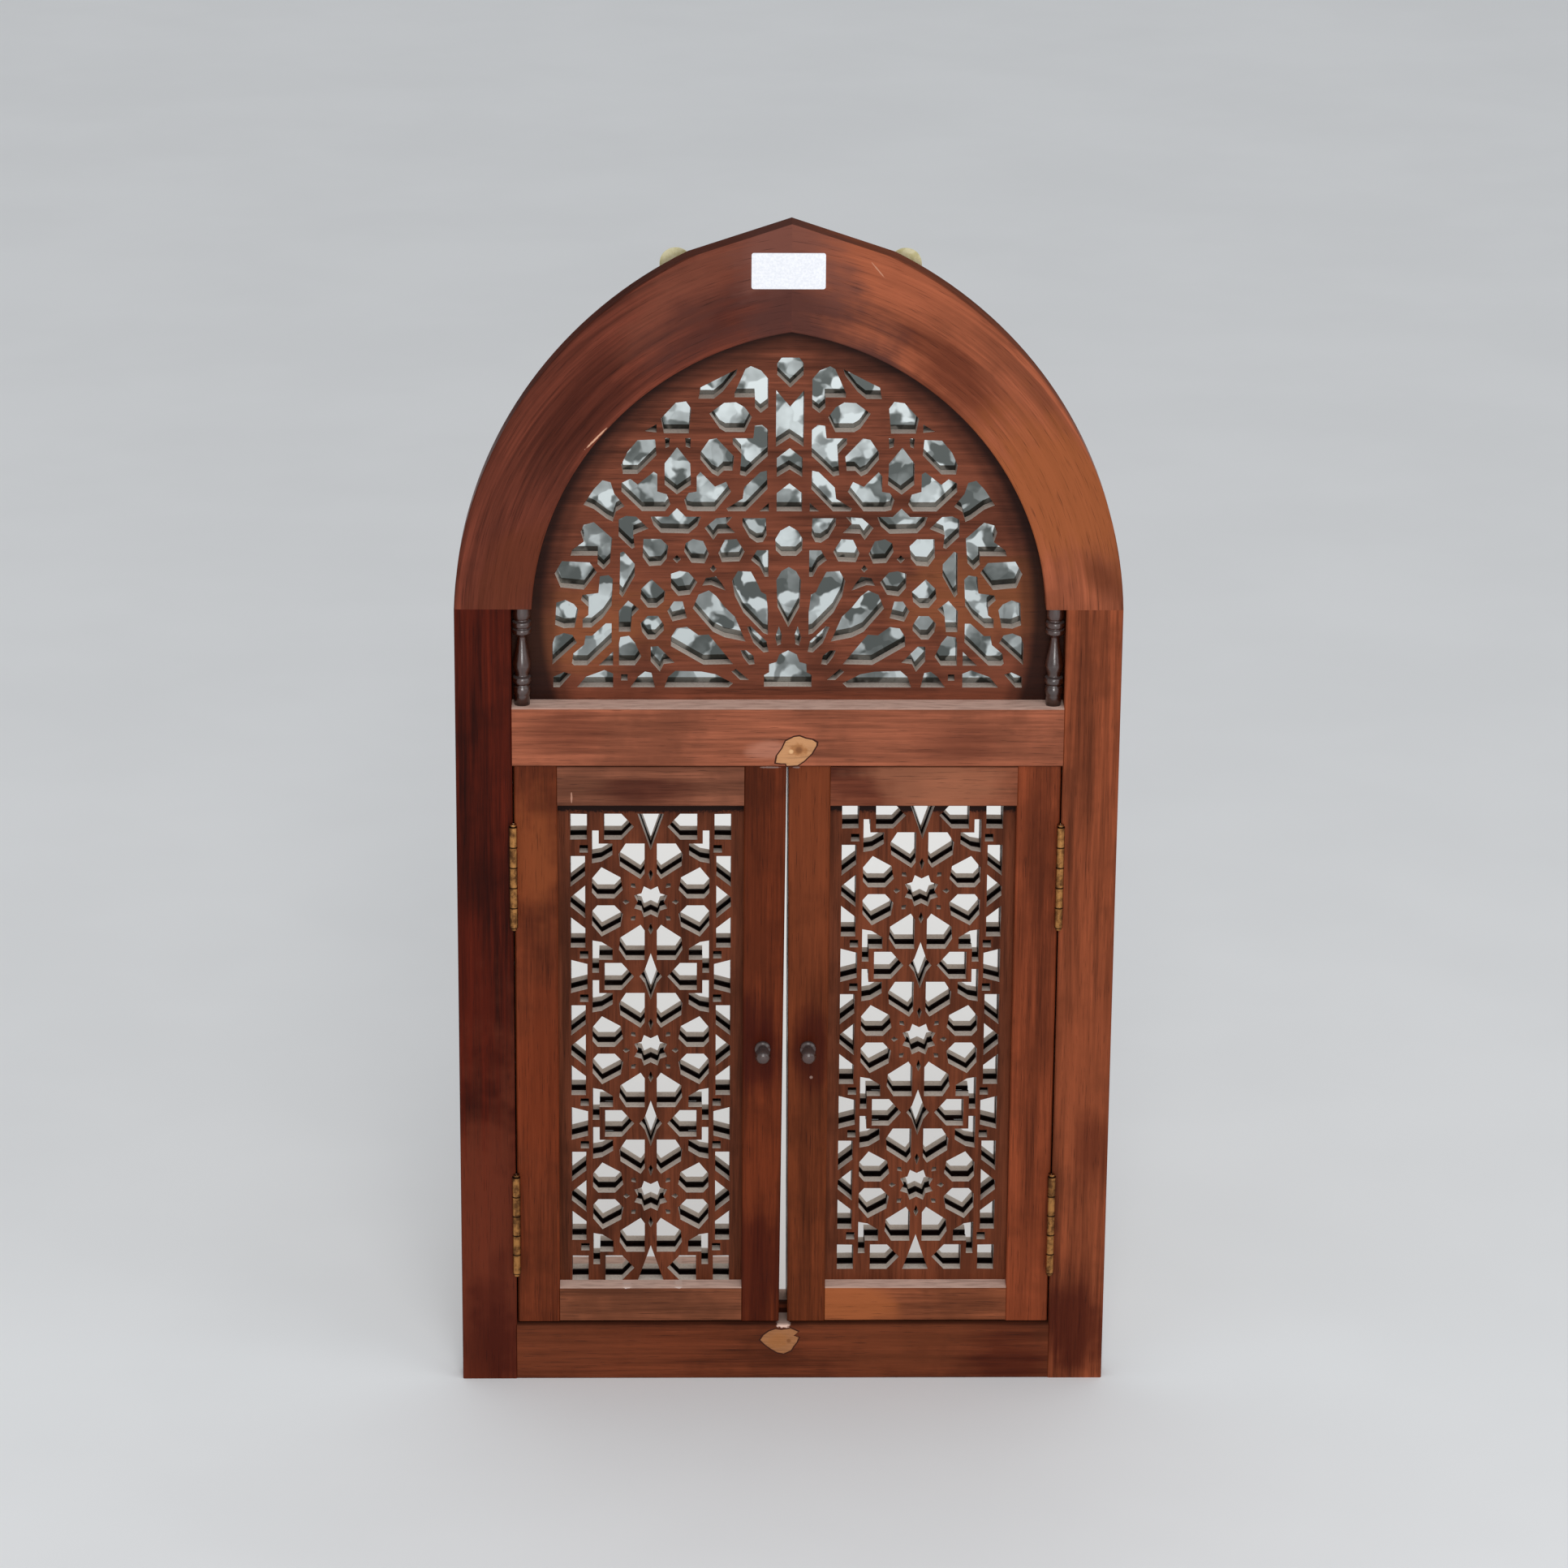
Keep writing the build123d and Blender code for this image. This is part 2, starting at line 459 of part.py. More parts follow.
def colonnette():
    """Turned colonnette under the overhanging foot of the arch, left side."""
    middle_x = ARCH_FOOT / 2 - OPEN_X
    line = [(COLONNETTE_R * r, COLONNETTE_H * h) for r, h in COLONNETTE_PROFILE]
    line = [(0, 0)] + line + [(0, COLONNETTE_H)]
    turning = revolve(Rot(90, 0, 0) * Face(outline(line)), Axis.Z)
    return Pos(middle_x, FRONT + FACE_T / 2, MID_RAIL_TOP) * turning


# ---------------------------------------------------------------- case behind the face frame
def board_points():
    """Backing board: straight sides with the top corners cut off."""
    side = HALF_W - BOARD_SIDE_INSET
    right = [(BOARD_TOP_HALF, BOARD_TOP_Z), (side, BOARD_SHOULDER_Z), (side, 0)]
    return [(-x, z) for x, z in reversed(right)] + right


def inset(points, by):
    """Each corner of a clockwise outline moved in, so that every side moves in by the same amount."""
    moved = []
    for i, (x, z) in enumerate(points):
        (ax, az), (bx, bz) = points[i - 1], points[(i + 1) % len(points)]
        before = Vector(x - ax, z - az, 0).normalized()
        after = Vector(bx - x, bz - z, 0).normalized()
        normal_a = Vector(before.Y, -before.X, 0)
        normal_b = Vector(after.Y, -after.X, 0)
        step = (normal_a + normal_b) * (by / (1 + normal_a.dot(normal_b)))
        moved.append((x + step.X, z + step.Y))
    return moved


def battens():
    """The six mitred battens between the face frame and the board, by name."""
    outer = board_points()
    inner = inset(outer, BATTEN_W)
    names = ["side_batten_left", "slant_batten_left", "top_batten", "slant_batten_right",
             "side_batten_right"]
    made = {}
    for i, name in enumerate(names):
        corners = [outer[i], outer[i + 1], inner[i + 1], inner[i]]
        if i in (0, 4):
            corners = [(x, 0 if z <= BATTEN_W else z) for x, z in corners]
        made[name] = slab(Face(outline(corners)), CASE_Y, BOARD_Y)
    return made


def bottom_batten():
    """Bottom batten: a stop for the doors and a ledge for the mirror."""
    half = HALF_W - BOARD_SIDE_INSET - BATTEN_W
    stop_y = DOOR_BACK + PANEL_SEAT
    under = block(-half, half, CASE_Y, stop_y, 0, BOTTOM_RAIL_H)
    stop = block(-half, half, stop_y, MIRROR_Y - PANEL_SEAT, 0, BOTTOM_RAIL_H + DOOR_STOP_H)
    ledge = block(-half, half, MIRROR_Y - PANEL_SEAT, BOARD_Y, 0, MIRROR_SEAT_Z)
    return under + stop + ledge


def mid_batten():
    """Batten behind the mid rail, with the upper door stop."""
    half = HALF_W - BOARD_SIDE_INSET - BATTEN_W
    stop_y = DOOR_BACK + PANEL_SEAT
    top = MID_RAIL_Z + MID_BATTEN_H
    behind = block(-half, half, CASE_Y, stop_y, MID_RAIL_Z, top)
    stop = block(-half, half, stop_y, MIRROR_Y - PANEL_SEAT, MID_RAIL_Z - DOOR_STOP_H, top)
    return behind + stop


def mirror_glass():
    """One tall mirror on the board, inside the battens."""
    shape = inset(board_points(), BATTEN_W + PANEL_SEAT)
    foot = MIRROR_SEAT_Z + PANEL_SEAT
    shape = [(x, max(z, foot)) for x, z in shape]
    return slab(Face(outline(shape)), MIRROR_Y, BOARD_Y)


def hanger_plates():
    """Brass plates on the back, their holes standing clear above the board."""
    back = BOARD_Y + BOARD_T
    middle = HANGER_TOP_Z - HANGER_H / 2
    plate = Pos(HANGER_X, middle) * Rectangle(HANGER_W, HANGER_H)
    plate = fillet(plate.vertices().group_by(Axis.Y)[-1], HANGER_W * 0.49)
    plate -= Pos(HANGER_X, HANGER_TOP_Z - HANGER_HOLE_DROP) * Circle(HANGER_HOLE_R)
    right = slab(plate, back, back + HANGER_T)
    return Compound(children=[other_side(right), right])


# ---------------------------------------------------------------- doors, drawn for the right side
def door_rebate():
    """Rebate for the pierced panel in the back of the door's frame."""
    return block(DOOR_OPEN_X0 - PANEL_LAP, DOOR_OPEN_X1 + PANEL_LAP, PANEL_Y, DOOR_BACK + SEAT,
                 DOOR_OPEN_Z0 - PANEL_LAP, DOOR_OPEN_Z1 + PANEL_LAP)


def door_tenon_y():
    """Middle of the door tenons, in the wood in front of the panel."""
    return (DOOR_Y + PANEL_Y) / 2


def door_mortises(x):
    y = door_tenon_y()
    return mortise(x, DOOR_Z0, DOOR_OPEN_Z0, y) + mortise(x, DOOR_OPEN_Z1, DOOR_Z1, y)


def door_outer_stile():
    stile = soften(block(DOOR_OPEN_X1, DOOR_X, DOOR_Y, DOOR_BACK, DOOR_Z0, DOOR_Z1), DOOR_Y, Axis.Z)
    stile -= door_rebate()
    stile -= door_mortises(DOOR_OPEN_X1)
    for z in HINGE_Z:
        stile -= block(DOOR_X - LEAF_T, DOOR_X + SEAT, DOOR_Y - SEAT, FRONT + LEAF_W + SEAT,
                       z - HINGE_L / 2 - SEAT, z + HINGE_L / 2 + SEAT)
    return stile


def door_meeting_stile():
    """Meeting stile, planed slightly out of square so that the gap widens downwards."""
    sections = []
    for y, bevel in ((DOOR_Y, 0), (DOOR_BACK, CLOSING_BEVEL)):
        shape = [(MEETING_GAP_BOTTOM + bevel, DOOR_Z0), (DOOR_OPEN_X0, DOOR_Z0), (DOOR_OPEN_X0, DOOR_Z1),
                 (MEETING_GAP_TOP + bevel, DOOR_Z1)]
        sections.append(Pos(0, y, 0) * Rot(90, 0, 0) * Face(outline(shape)))
    stile = loft(sections, ruled=True)
    edges = [e for e in stile.edges() if abs(e.center().Y - DOOR_Y) < 0.01 and e.length > DOOR_STILE_W * 2]
    stile = chamfer(edges, EDGE)
    stile -= door_rebate()
    return stile - door_mortises(DOOR_OPEN_X0)


def door_rail(z0, z1):
    rail = soften(block(DOOR_OPEN_X0, DOOR_OPEN_X1, DOOR_Y, DOOR_BACK, z0, z1), DOOR_Y, Axis.X)
    rail -= door_rebate()
    y = door_tenon_y()
    return rail + tenon(DOOR_OPEN_X0, z0, z1, y) + tenon(DOOR_OPEN_X1, z0, z1, y)


# Profile of the ball, as shares of its radius and of its depth, from the neck to the front.
KNOB_BALL = [(0.6, 0.02), (1, 0.32), (1, 0.68), (0.6, 0.98)]


def knob():
    """Turned knob, a collar, neck and ball, screwed on from inside the door."""
    share = (KNOB_Z - DOOR_Z0) / (DOOR_Z1 - DOOR_Z0)
    meeting_edge = MEETING_GAP_BOTTOM + (MEETING_GAP_TOP - MEETING_GAP_BOTTOM) * share
    front = KNOB_NECK_L + 2 * KNOB_R
    line = [(0, 0), (KNOB_R, 0), (KNOB_R, KNOB_COLLAR_T), (KNOB_NECK_R, KNOB_COLLAR_T),
            (KNOB_NECK_R, KNOB_NECK_L)]
    line += [(KNOB_R * r, KNOB_NECK_L + 2 * KNOB_R * d) for r, d in KNOB_BALL] + [(0, front)]
    turning = revolve(Rot(90, 0, 0) * Face(outline(line)), Axis.Z)
    return Pos(meeting_edge + KNOB_INSET, DOOR_Y, KNOB_Z) * Rot(90, 0, 0) * turning


# ---------------------------------------------------------------- hinges, right side
def knuckle_spans(z, parity):
    """Heights of the knuckles that belong to one leaf; parity 0 is the frame's."""
    pitch = HINGE_L / KNUCKLES
    low = z - HINGE_L / 2
    return [(low + i * pitch + KNUCKLE_GAP / 2, low + (i + 1) * pitch - KNUCKLE_GAP / 2)
            for i in range(KNUCKLES) if i % 2 == parity]


def hinge_leaf(z, face_x, toward, parity):
    """A leaf against the face at face_x, its thickness going toward +1 or -1 in X."""
    x0, x1 = sorted((face_x, face_x + toward * LEAF_T))
    leaf = block(x0, x1, LEAF_FRONT, FRONT + LEAF_W, z - HINGE_L / 2, z + HINGE_L / 2)
    for z0, z1 in knuckle_spans(z, parity):
        leaf += Pos(BARREL_X, BARREL_Y, (z0 + z1) / 2) * Cylinder(BARREL_R, z1 - z0)
        leaf += block(x0, x1, BARREL_Y, LEAF_FRONT, z0, z1)
    return leaf


def frame_leaf(z):
    """The frame's leaf with the pin fixed in its knuckles and a finial on each end."""
    leaf = hinge_leaf(z, OPEN_X, 1, 0) + Pos(BARREL_X, BARREL_Y, z) * Cylinder(PIN_R, HINGE_L - KNUCKLE_GAP)
    for end in (-1, 1):
        foot = z + end * (HINGE_L - KNUCKLE_GAP + FINIAL_H) / 2
        leaf += Pos(BARREL_X, BARREL_Y, foot) * Cylinder(FINIAL_R, FINIAL_H)
    return leaf


def door_leaf(z):
    """The door's leaf, its knuckles bored to run on the pin."""
    return hinge_leaf(z, DOOR_X, -1, 1) - Pos(BARREL_X, BARREL_Y, z) * Cylinder(PIN_R + PIN_CLEAR, HINGE_L)


# ---------------------------------------------------------------- assembly
def build():
    parts = {}
    stile = frame_stile()
    parts["stile_left"] = stile
    parts["stile_right"] = other_side(stile)
    parts["bottom_rail"] = frame_rail(0, BOTTOM_RAIL_H)
    parts["mid_rail"] = frame_rail(MID_RAIL_Z, MID_RAIL_TOP)
    arch = arch_half()
    parts["arch_left"] = arch
    parts["arch_right"] = other_side(arch)
    foot = foot_tenon()
    parts["arch_tenons"] = Compound(children=[foot, other_side(foot), peak_tenon()])
    column = colonnette()
    parts["colonnette_left"] = column
    parts["colonnette_right"] = other_side(column)
    parts["lunette_panel"] = lunette_panel()

    parts.update(battens())
    parts["bottom_batten"] = bottom_batten()
    parts["mid_batten"] = mid_batten()
    parts["mirror_glass"] = mirror_glass()
    parts["backing_board"] = slab(Face(outline(board_points())), BOARD_Y, BOARD_Y + BOARD_T)
    parts["hanger_plates"] = hanger_plates()

    for side, place in (("left", other_side), ("right", lambda shape: shape)):
        shift = PANEL_SHIFT if side == "right" else -PANEL_SHIFT
        parts[f"door_{side}_outer_stile"] = place(door_outer_stile())
        parts[f"door_{side}_meeting_stile"] = place(door_meeting_stile())
        parts[f"door_{side}_top_rail"] = place(door_rail(DOOR_OPEN_Z1, DOOR_Z1))
        parts[f"door_{side}_bottom_rail"] = place(door_rail(DOOR_Z0, DOOR_OPEN_Z0))
        parts[f"door_{side}_panel"] = place(door_panel(shift))
        parts[f"door_{side}_knob"] = place(knob())
        for level, z in zip(("lower", "upper"), HINGE_Z):
            name = f"hinge_{side}_{level}"
            parts[f"{name}_frame_leaf"] = place(frame_leaf(z))
            parts[f"{name}_door_leaf"] = place(door_leaf(z))
    return parts


os.makedirs("parts", exist_ok=True)
for node, shape in build().items():
    export_step(shape, f"parts/{node}.step")
    print(node, round(shape.volume))
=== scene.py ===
import bmesh
import bpy
from math import cos, pi, radians, sin
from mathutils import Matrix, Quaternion, Vector


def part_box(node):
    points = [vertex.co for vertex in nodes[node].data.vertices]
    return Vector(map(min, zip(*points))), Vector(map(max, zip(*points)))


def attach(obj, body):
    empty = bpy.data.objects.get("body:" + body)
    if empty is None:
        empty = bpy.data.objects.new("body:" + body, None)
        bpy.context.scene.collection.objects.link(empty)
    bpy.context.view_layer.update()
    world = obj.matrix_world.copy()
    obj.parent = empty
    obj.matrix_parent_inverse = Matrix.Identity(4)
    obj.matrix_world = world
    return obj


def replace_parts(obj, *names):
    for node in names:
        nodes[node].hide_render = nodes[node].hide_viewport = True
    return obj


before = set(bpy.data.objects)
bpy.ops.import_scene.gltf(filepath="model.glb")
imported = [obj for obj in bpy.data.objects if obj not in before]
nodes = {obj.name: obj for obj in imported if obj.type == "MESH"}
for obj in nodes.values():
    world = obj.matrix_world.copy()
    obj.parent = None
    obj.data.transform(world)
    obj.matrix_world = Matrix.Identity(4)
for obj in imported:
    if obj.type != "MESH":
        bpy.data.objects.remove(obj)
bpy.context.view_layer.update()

# ---------------------------------------------------------------- places, from the frame (metres)
MM = 0.001
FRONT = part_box("stile_right")[0].y
STILE_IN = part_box("stile_right")[0].x

# The curve of each half of the inner arch: its centre, past the centre line and up, and its radius.
ARCH_CENTRE = (32.6 * MM, 571.4 * MM)
ARCH_RADIUS = 209.7 * MM

# Angle of an upright grain and of the one in the slanting battens, in degrees.
UP = 90
SLANT = 49


# ---------------------------------------------------------------- material nodes
class Graph:
    """Short calls for building one material's nodes."""

    def __init__(self, name):
        self.material = bpy.data.materials.new(name)
        self.material.use_nodes = True
        self.tree = self.material.node_tree
        self.tree.nodes.clear()
        self.output = self.tree.nodes.new("ShaderNodeOutputMaterial")
        self.shader = self.tree.nodes.new("ShaderNodeBsdfPrincipled")
        self.tree.links.new(self.shader.outputs["BSDF"], self.output.inputs["Surface"])
        self.coords = self.tree.nodes.new("ShaderNodeTexCoord")

    def set(self, socket, value):
        """Link a socket to another one, or give it a constant."""
        if isinstance(value, bpy.types.NodeSocket):
            self.tree.links.new(value, socket)
        elif isinstance(value, (tuple, list)) and len(value) == 3 and socket.type == "RGBA":
            socket.default_value = (*value, 1)
        else:
            socket.default_value = value

    def surface(self, **values):
        for name, value in values.items():
            self.set(self.shader.inputs[name.replace("_", " ")], value)

    def math(self, operation, a, b=0.0, c=0.0):
        node = self.tree.nodes.new("ShaderNodeMath")
        node.operation = operation
        for socket, value in zip(node.inputs, (a, b, c)):
            self.set(socket, value)
        return node.outputs[0]

    def mix(self, factor, a, b):
        node = self.tree.nodes.new("ShaderNodeMix")
        node.data_type = "RGBA"
        self.set(node.inputs[0], factor)
        self.set(node.inputs[6], a)
        self.set(node.inputs[7], b)
        return node.outputs[2]

    def remap(self, value, low, high, to_low=0.0, to_high=1.0):
        """Eased from to_low, at low and under it, to to_high, at high and over it."""
        node = self.tree.nodes.new("ShaderNodeMapRange")
        node.interpolation_type = "SMOOTHSTEP"
        for socket, given in zip(node.inputs, (value, low, high, to_low, to_high)):
            self.set(socket, given)
        return node.outputs[0]

    def mapping(self, vector, location=(0, 0, 0), rotation=(0, 0, 0), scale=(1, 1, 1)):
        node = self.tree.nodes.new("ShaderNodeMapping")
        self.set(node.inputs["Vector"], vector)
        self.set(node.inputs["Location"], location)
        self.set(node.inputs["Rotation"], rotation)
        self.set(node.inputs["Scale"], scale)
        return node.outputs[0]

    def noise(self, vector, scale, detail=4.0, roughness=0.55, distortion=0.0):
        node = self.tree.nodes.new("ShaderNodeTexNoise")
        self.set(node.inputs["Vector"], vector)
        for name, value in (("Scale", scale), ("Detail", detail), ("Roughness", roughness),
                            ("Distortion", distortion)):
            node.inputs[name].default_value = value
        return node.outputs["Fac"]

    def stretched(self, vector, scale, **options):
        """Noise that repeats about so many times per metre along each axis."""
        return self.noise(self.mapping(vector, scale=scale), 1, **options)

    def ramp(self, factor, stops):
        node = self.tree.nodes.new("ShaderNodeValToRGB")
        self.set(node.inputs["Fac"], factor)
        while len(node.color_ramp.elements) < len(stops):
            node.color_ramp.elements.new(0.5)
        for element, (position, colour) in zip(node.color_ramp.elements, stops):
            element.position = position
            element.color = (*colour, 1)
        return node.outputs["Color"]

    def length(self, vector):
        node = self.tree.nodes.new("ShaderNodeVectorMath")
        node.operation = "LENGTH"
        self.set(node.inputs[0], vector)
        return node.outputs["Value"]

    def oval(self, centre, angle, long, wide):
        """0 at a centre (x, z) and 1 on the rim of an oval that lies about it at an angle.

        All in millimetres, and the same at every depth.
        """
        x, z = centre[0] * MM, centre[1] * MM
        turn = radians(angle)
        place = self.mapping(self.coords.outputs["Object"], rotation=(0, turn, 0),
                             location=(-x * cos(turn) - z * sin(turn), 0, x * sin(turn) - z * cos(turn)))
        return self.length(self.mapping(place, scale=(1 / (long * MM), 0, 1 / (wide * MM))))

    def arch_place(self):
        """Object coordinates as (way along the arch, depth, radius), both halves alike."""
        place = self.coords.outputs["Object"]
        across = self.math("ADD", self.math("ABSOLUTE", self.axis(place, "X")), ARCH_CENTRE[0])
        up = self.math("SUBTRACT", self.axis(place, "Z"), ARCH_CENTRE[1])
        node = self.tree.nodes.new("ShaderNodeCombineXYZ")
        self.set(node.inputs["X"], self.math("MULTIPLY", self.math("ARCTAN2", up, across), ARCH_RADIUS))
        self.set(node.inputs["Y"], self.axis(place, "Y"))
        squares = self.math("MULTIPLY_ADD", across, across, self.math("MULTIPLY", up, up))
        self.set(node.inputs["Z"], self.math("SQRT", squares))
        return node.outputs["Vector"]

    def bump(self, height, strength, distance):
        node = self.tree.nodes.new("ShaderNodeBump")
        self.set(node.inputs["Height"], height)
        node.inputs["Strength"].default_value = strength
        node.inputs["Distance"].default_value = distance
        return node.outputs["Normal"]

    def axis(self, vector, name):
        node = self.tree.nodes.new("ShaderNodeSeparateXYZ")
        self.set(node.inputs[0], vector)
        return node.outputs[name]


def srgb(red, green, blue):
    """A colour as read from a screen, 0 to 255, as linear values."""
    def linear(value):
        value /= 255
        return value / 12.92 if value <= 0.04045 else ((value + 0.055) / 1.055) ** 2.4
    return (linear(red), linear(green), linear(blue))


# The light that a front face gets here, and the sheen that every face adds to its own colour.
LIGHT = 0.9
SHEEN = 0.008
DARKEST_PAINT = 0.0015


def seen(red, green, blue):
    """The paint that looks like a screen colour, 0 to 255, on a front face in this light."""
    return tuple(max(part - SHEEN, DARKEST_PAINT) / LIGHT for part in srgb(red, green, blue))


def shades(red, green, blue, spread=0.52):
    """Dark, middle and light tone of one stained board."""
    middle = seen(red, green, blue)
    return [tuple(part * share for part in middle) for share in (1 - spread, 1, 1 + spread)]


# Near black: the wood's pores, hinge seams and screw slots, and painted shade wherever the wood is darkened
# for shade.
NEAR_BLACK = srgb(26, 13, 11)
# Dark brown for soft patches: darker patches low on the stiles and along the rails, and painted shadow round
# the knobs.
DARK_PATCH_AND_SHADE = seen(58, 27, 22)
APEX = seen(112, 70, 60)
SHADED_APEX = seen(80, 50, 45)
# Pale top of a ledge: partly wear, partly painted sheen of the light that falls on it.
PALE_WEAR_AND_SHEEN = srgb(222, 188, 172)
# Sawn wood in the pierced boards: pale where a wall faces up and dark where it faces down, as painted light
# and shade, with darker rough spots.
SAWN_DARK_AND_SHADED = srgb(118, 76, 60)
SAWN_PALE_AND_LIT = srgb(212, 200, 188)
BARE = srgb(192, 139, 96)
CHIP_SHADOW_RIM = srgb(62, 31, 22)
CHALK = srgb(240, 234, 230)

# How often the fields of the grain repeat per metre, along it and twice across it, and their shares.
SWAY = (5, 16, 16)
RINGS = (4, 105, 105)
STREAKS = (16, 520, 520)
PORES = (55, 1900, 1900)
RING_SHARE = 0.66
STREAK_SHARE = 0.34
# How far a patch is drawn out along the grain and in across it, and how much the fields fray its rim.
PATCH_LONG = 1.5
PATCH_WIDE = 0.75
CLOUD_FRAY = 2.2
RING_FRAY = 1.1
# The Z of a face's normal from which, and at which fully, it counts as facing up.
FACING_UP = (0.2, 0.7)
# Painted shadow of the arch on the lunette board: from and to, in millimetres inside its curve, and how
# strong it gets.
ARCH_SHADOW_RINGS = ((21, 12, 0.45), (12, 4, 0.8))
# Depth from which the sawn walls of the pierced boards are painted black, as painted shade, and over how far,
# in millimetres.
DOOR_WALLS = 6.5
LUNETTE_WALLS = 11.5
WALL_CHANGE = 0.5
# Heights between which the mirror turns from clear to grey patches of painted shade and painted reflection,
# behind the mid rail, in metres.
CLEAR_BELOW, PATCHY_ABOVE = 0.46, 0.50
# Length of a hinge knuckle in metres.
KNUCKLE = 15 * MM
# A screw head's radius, and its slot as (half length, half width) in millimetres and an angle.
HEAD_RADIUS = 3.1
SLOT = (2.7, 0.45)
SLOT_ANGLE = 25


def wood(name, angle, tones, seed=0, patches=(), marks=(), roughness=(0.3, 0.5), gloss=0.07, coat=0.0,
         stain=0.55, cut_walls=None, worn_and_lit_top=False, arch_shade=False, bent=False):
    """Stained wood with its grain at an angle, in degrees from +X towards +Z, or bent along the arch.

    patches are soft (colour, (x, z), size, strength), drawn out along the grain, and marks are crisp
    (colour, (x, z), (half length, half width)); both in millimetres, at every depth. cut_walls is the
    depth from which sawn walls are painted black, and back faces are black too, as painted shade; in
    front of it the sawn walls carry painted light, pale where they face up and dark where they face
    down. arch_shade paints the shadow of the arch on what lies close to the inner arch. Faces that
    point up are painted darker, as painted shade.
    """
    g = Graph(name)
    place = g.coords.outputs["Object"]
    along = g.mapping(g.arch_place() if bent else place, location=(seed * 1.7, seed * 0.9, seed * 2.3),
                      rotation=(0, 0 if bent else radians(angle), 0))
    sway = g.stretched(along, SWAY, detail=2)
    rings = g.stretched(along, RINGS, detail=5, roughness=0.62, distortion=0.35)
    streaks = g.stretched(along, STREAKS, detail=4, roughness=0.6)
    pores = g.stretched(along, PORES, detail=2, roughness=0.5)
    cloud = g.noise(along, 13, detail=4, roughness=0.62)
    grain = g.math("ADD", g.math("MULTIPLY", rings, RING_SHARE), g.math("MULTIPLY", streaks, STREAK_SHARE))
    colour = g.ramp(grain, [(0.37, tones[0]), (0.5, tones[1]), (0.62, tones[2])])
    colour = g.mix(g.math("MULTIPLY", g.remap(cloud, 0.46, 0.66), stain), colour, tones[0])
    colour = g.mix(g.math("MULTIPLY", g.remap(sway, 0.5, 0.7), 0.5), colour, tones[2])
    for tone, centre, size, strength in patches:
        reach = g.oval(centre, angle, size * PATCH_LONG, size * PATCH_WIDE)
        for field, share in ((cloud, CLOUD_FRAY), (rings, RING_FRAY)):
            reach = g.math("MULTIPLY_ADD", g.math("SUBTRACT", field, 0.5), share, reach)
        colour = g.mix(g.remap(reach, 0.3, 1.1, strength, 0), colour, tone)
    pore_mask = g.math("MULTIPLY", g.remap(pores, 0.6, 0.72), 0.5)
    colour = g.mix(pore_mask, colour, NEAR_BLACK)
    rough_cut = g.noise(place, 700, detail=3)
    for tone, centre, (long, wide) in marks:
        reach = g.math("ADD", g.oval(centre, angle, long, wide), g.math("SUBTRACT", rough_cut, 0.5))
        colour = g.mix(g.remap(reach, 0.7, 1.1, 1, 0), colour, tone)
    normal = g.coords.outputs["Normal"]
    above = g.axis(normal, "Z")
    # Painted shade: faces that point up are painted darker, against the sheen they catch.
    colour = g.mix(g.remap(above, *FACING_UP, 0, 0.5), colour, NEAR_BLACK)
    # A pale top on faces that point up: partly wear, partly painted sheen where light falls on the ledge.
    if worn_and_lit_top:
        rubbed = g.remap(g.stretched(place, (60, 300, 300), detail=4), 0.32, 0.6, 0.7, 1)
        colour = g.mix(g.math("MULTIPLY", g.remap(above, 0.6, 0.8), rubbed), colour, PALE_WEAR_AND_SHEEN)
    if arch_shade:
        # Painted shadow of the arch, in rings just inside its curve.
        radius = g.axis(g.arch_place(), "Z")
        for start, end, strength in ARCH_SHADOW_RINGS:
            ring = g.remap(radius, ARCH_RADIUS - start * MM, ARCH_RADIUS - end * MM, 0, strength)
            colour = g.mix(ring, colour, NEAR_BLACK)
    if cut_walls is not None:
        facing = g.axis(normal, "Y")
        # Painted light on the sawn walls: pale where they face up, dark where they face down.
        wall = g.mix(g.remap(above, -0.2, 0.5), SAWN_DARK_AND_SHADED, SAWN_PALE_AND_LIT)
        wall = g.mix(g.math("MULTIPLY", g.remap(rough_cut, 0.45, 0.7), 0.25), wall, SAWN_DARK_AND_SHADED)
        # Painted shade: the walls turn black from that depth back.
        rear = g.remap(g.axis(place, "Y"), cut_walls * MM, (cut_walls + WALL_CHANGE) * MM)
        wall = g.mix(rear, wall, NEAR_BLACK)
        colour = g.mix(g.remap(g.math("ABSOLUTE", facing), 0.3, 0.6, 1, 0), colour, wall)
        # Painted shade: the back faces are black.
        colour = g.mix(g.remap(facing, 0.2, 0.5), colour, NEAR_BLACK)
    height = g.math("SUBTRACT", g.math("MULTIPLY", streaks, 0.5), g.math("MULTIPLY", pore_mask, 1.2))
    smudge = g.remap(g.noise(place, 26, detail=4, roughness=0.65), 0.3, 0.7, *roughness)
    g.surface(Base_Color=colour, Roughness=g.math("MAXIMUM", smudge, g.remap(above, *FACING_UP)),
              Normal=g.bump(height, 0.35, 0.0003), Specular_IOR_Level=gloss, Coat_Weight=coat,
              Coat_Roughness=0.2)
    return g.material


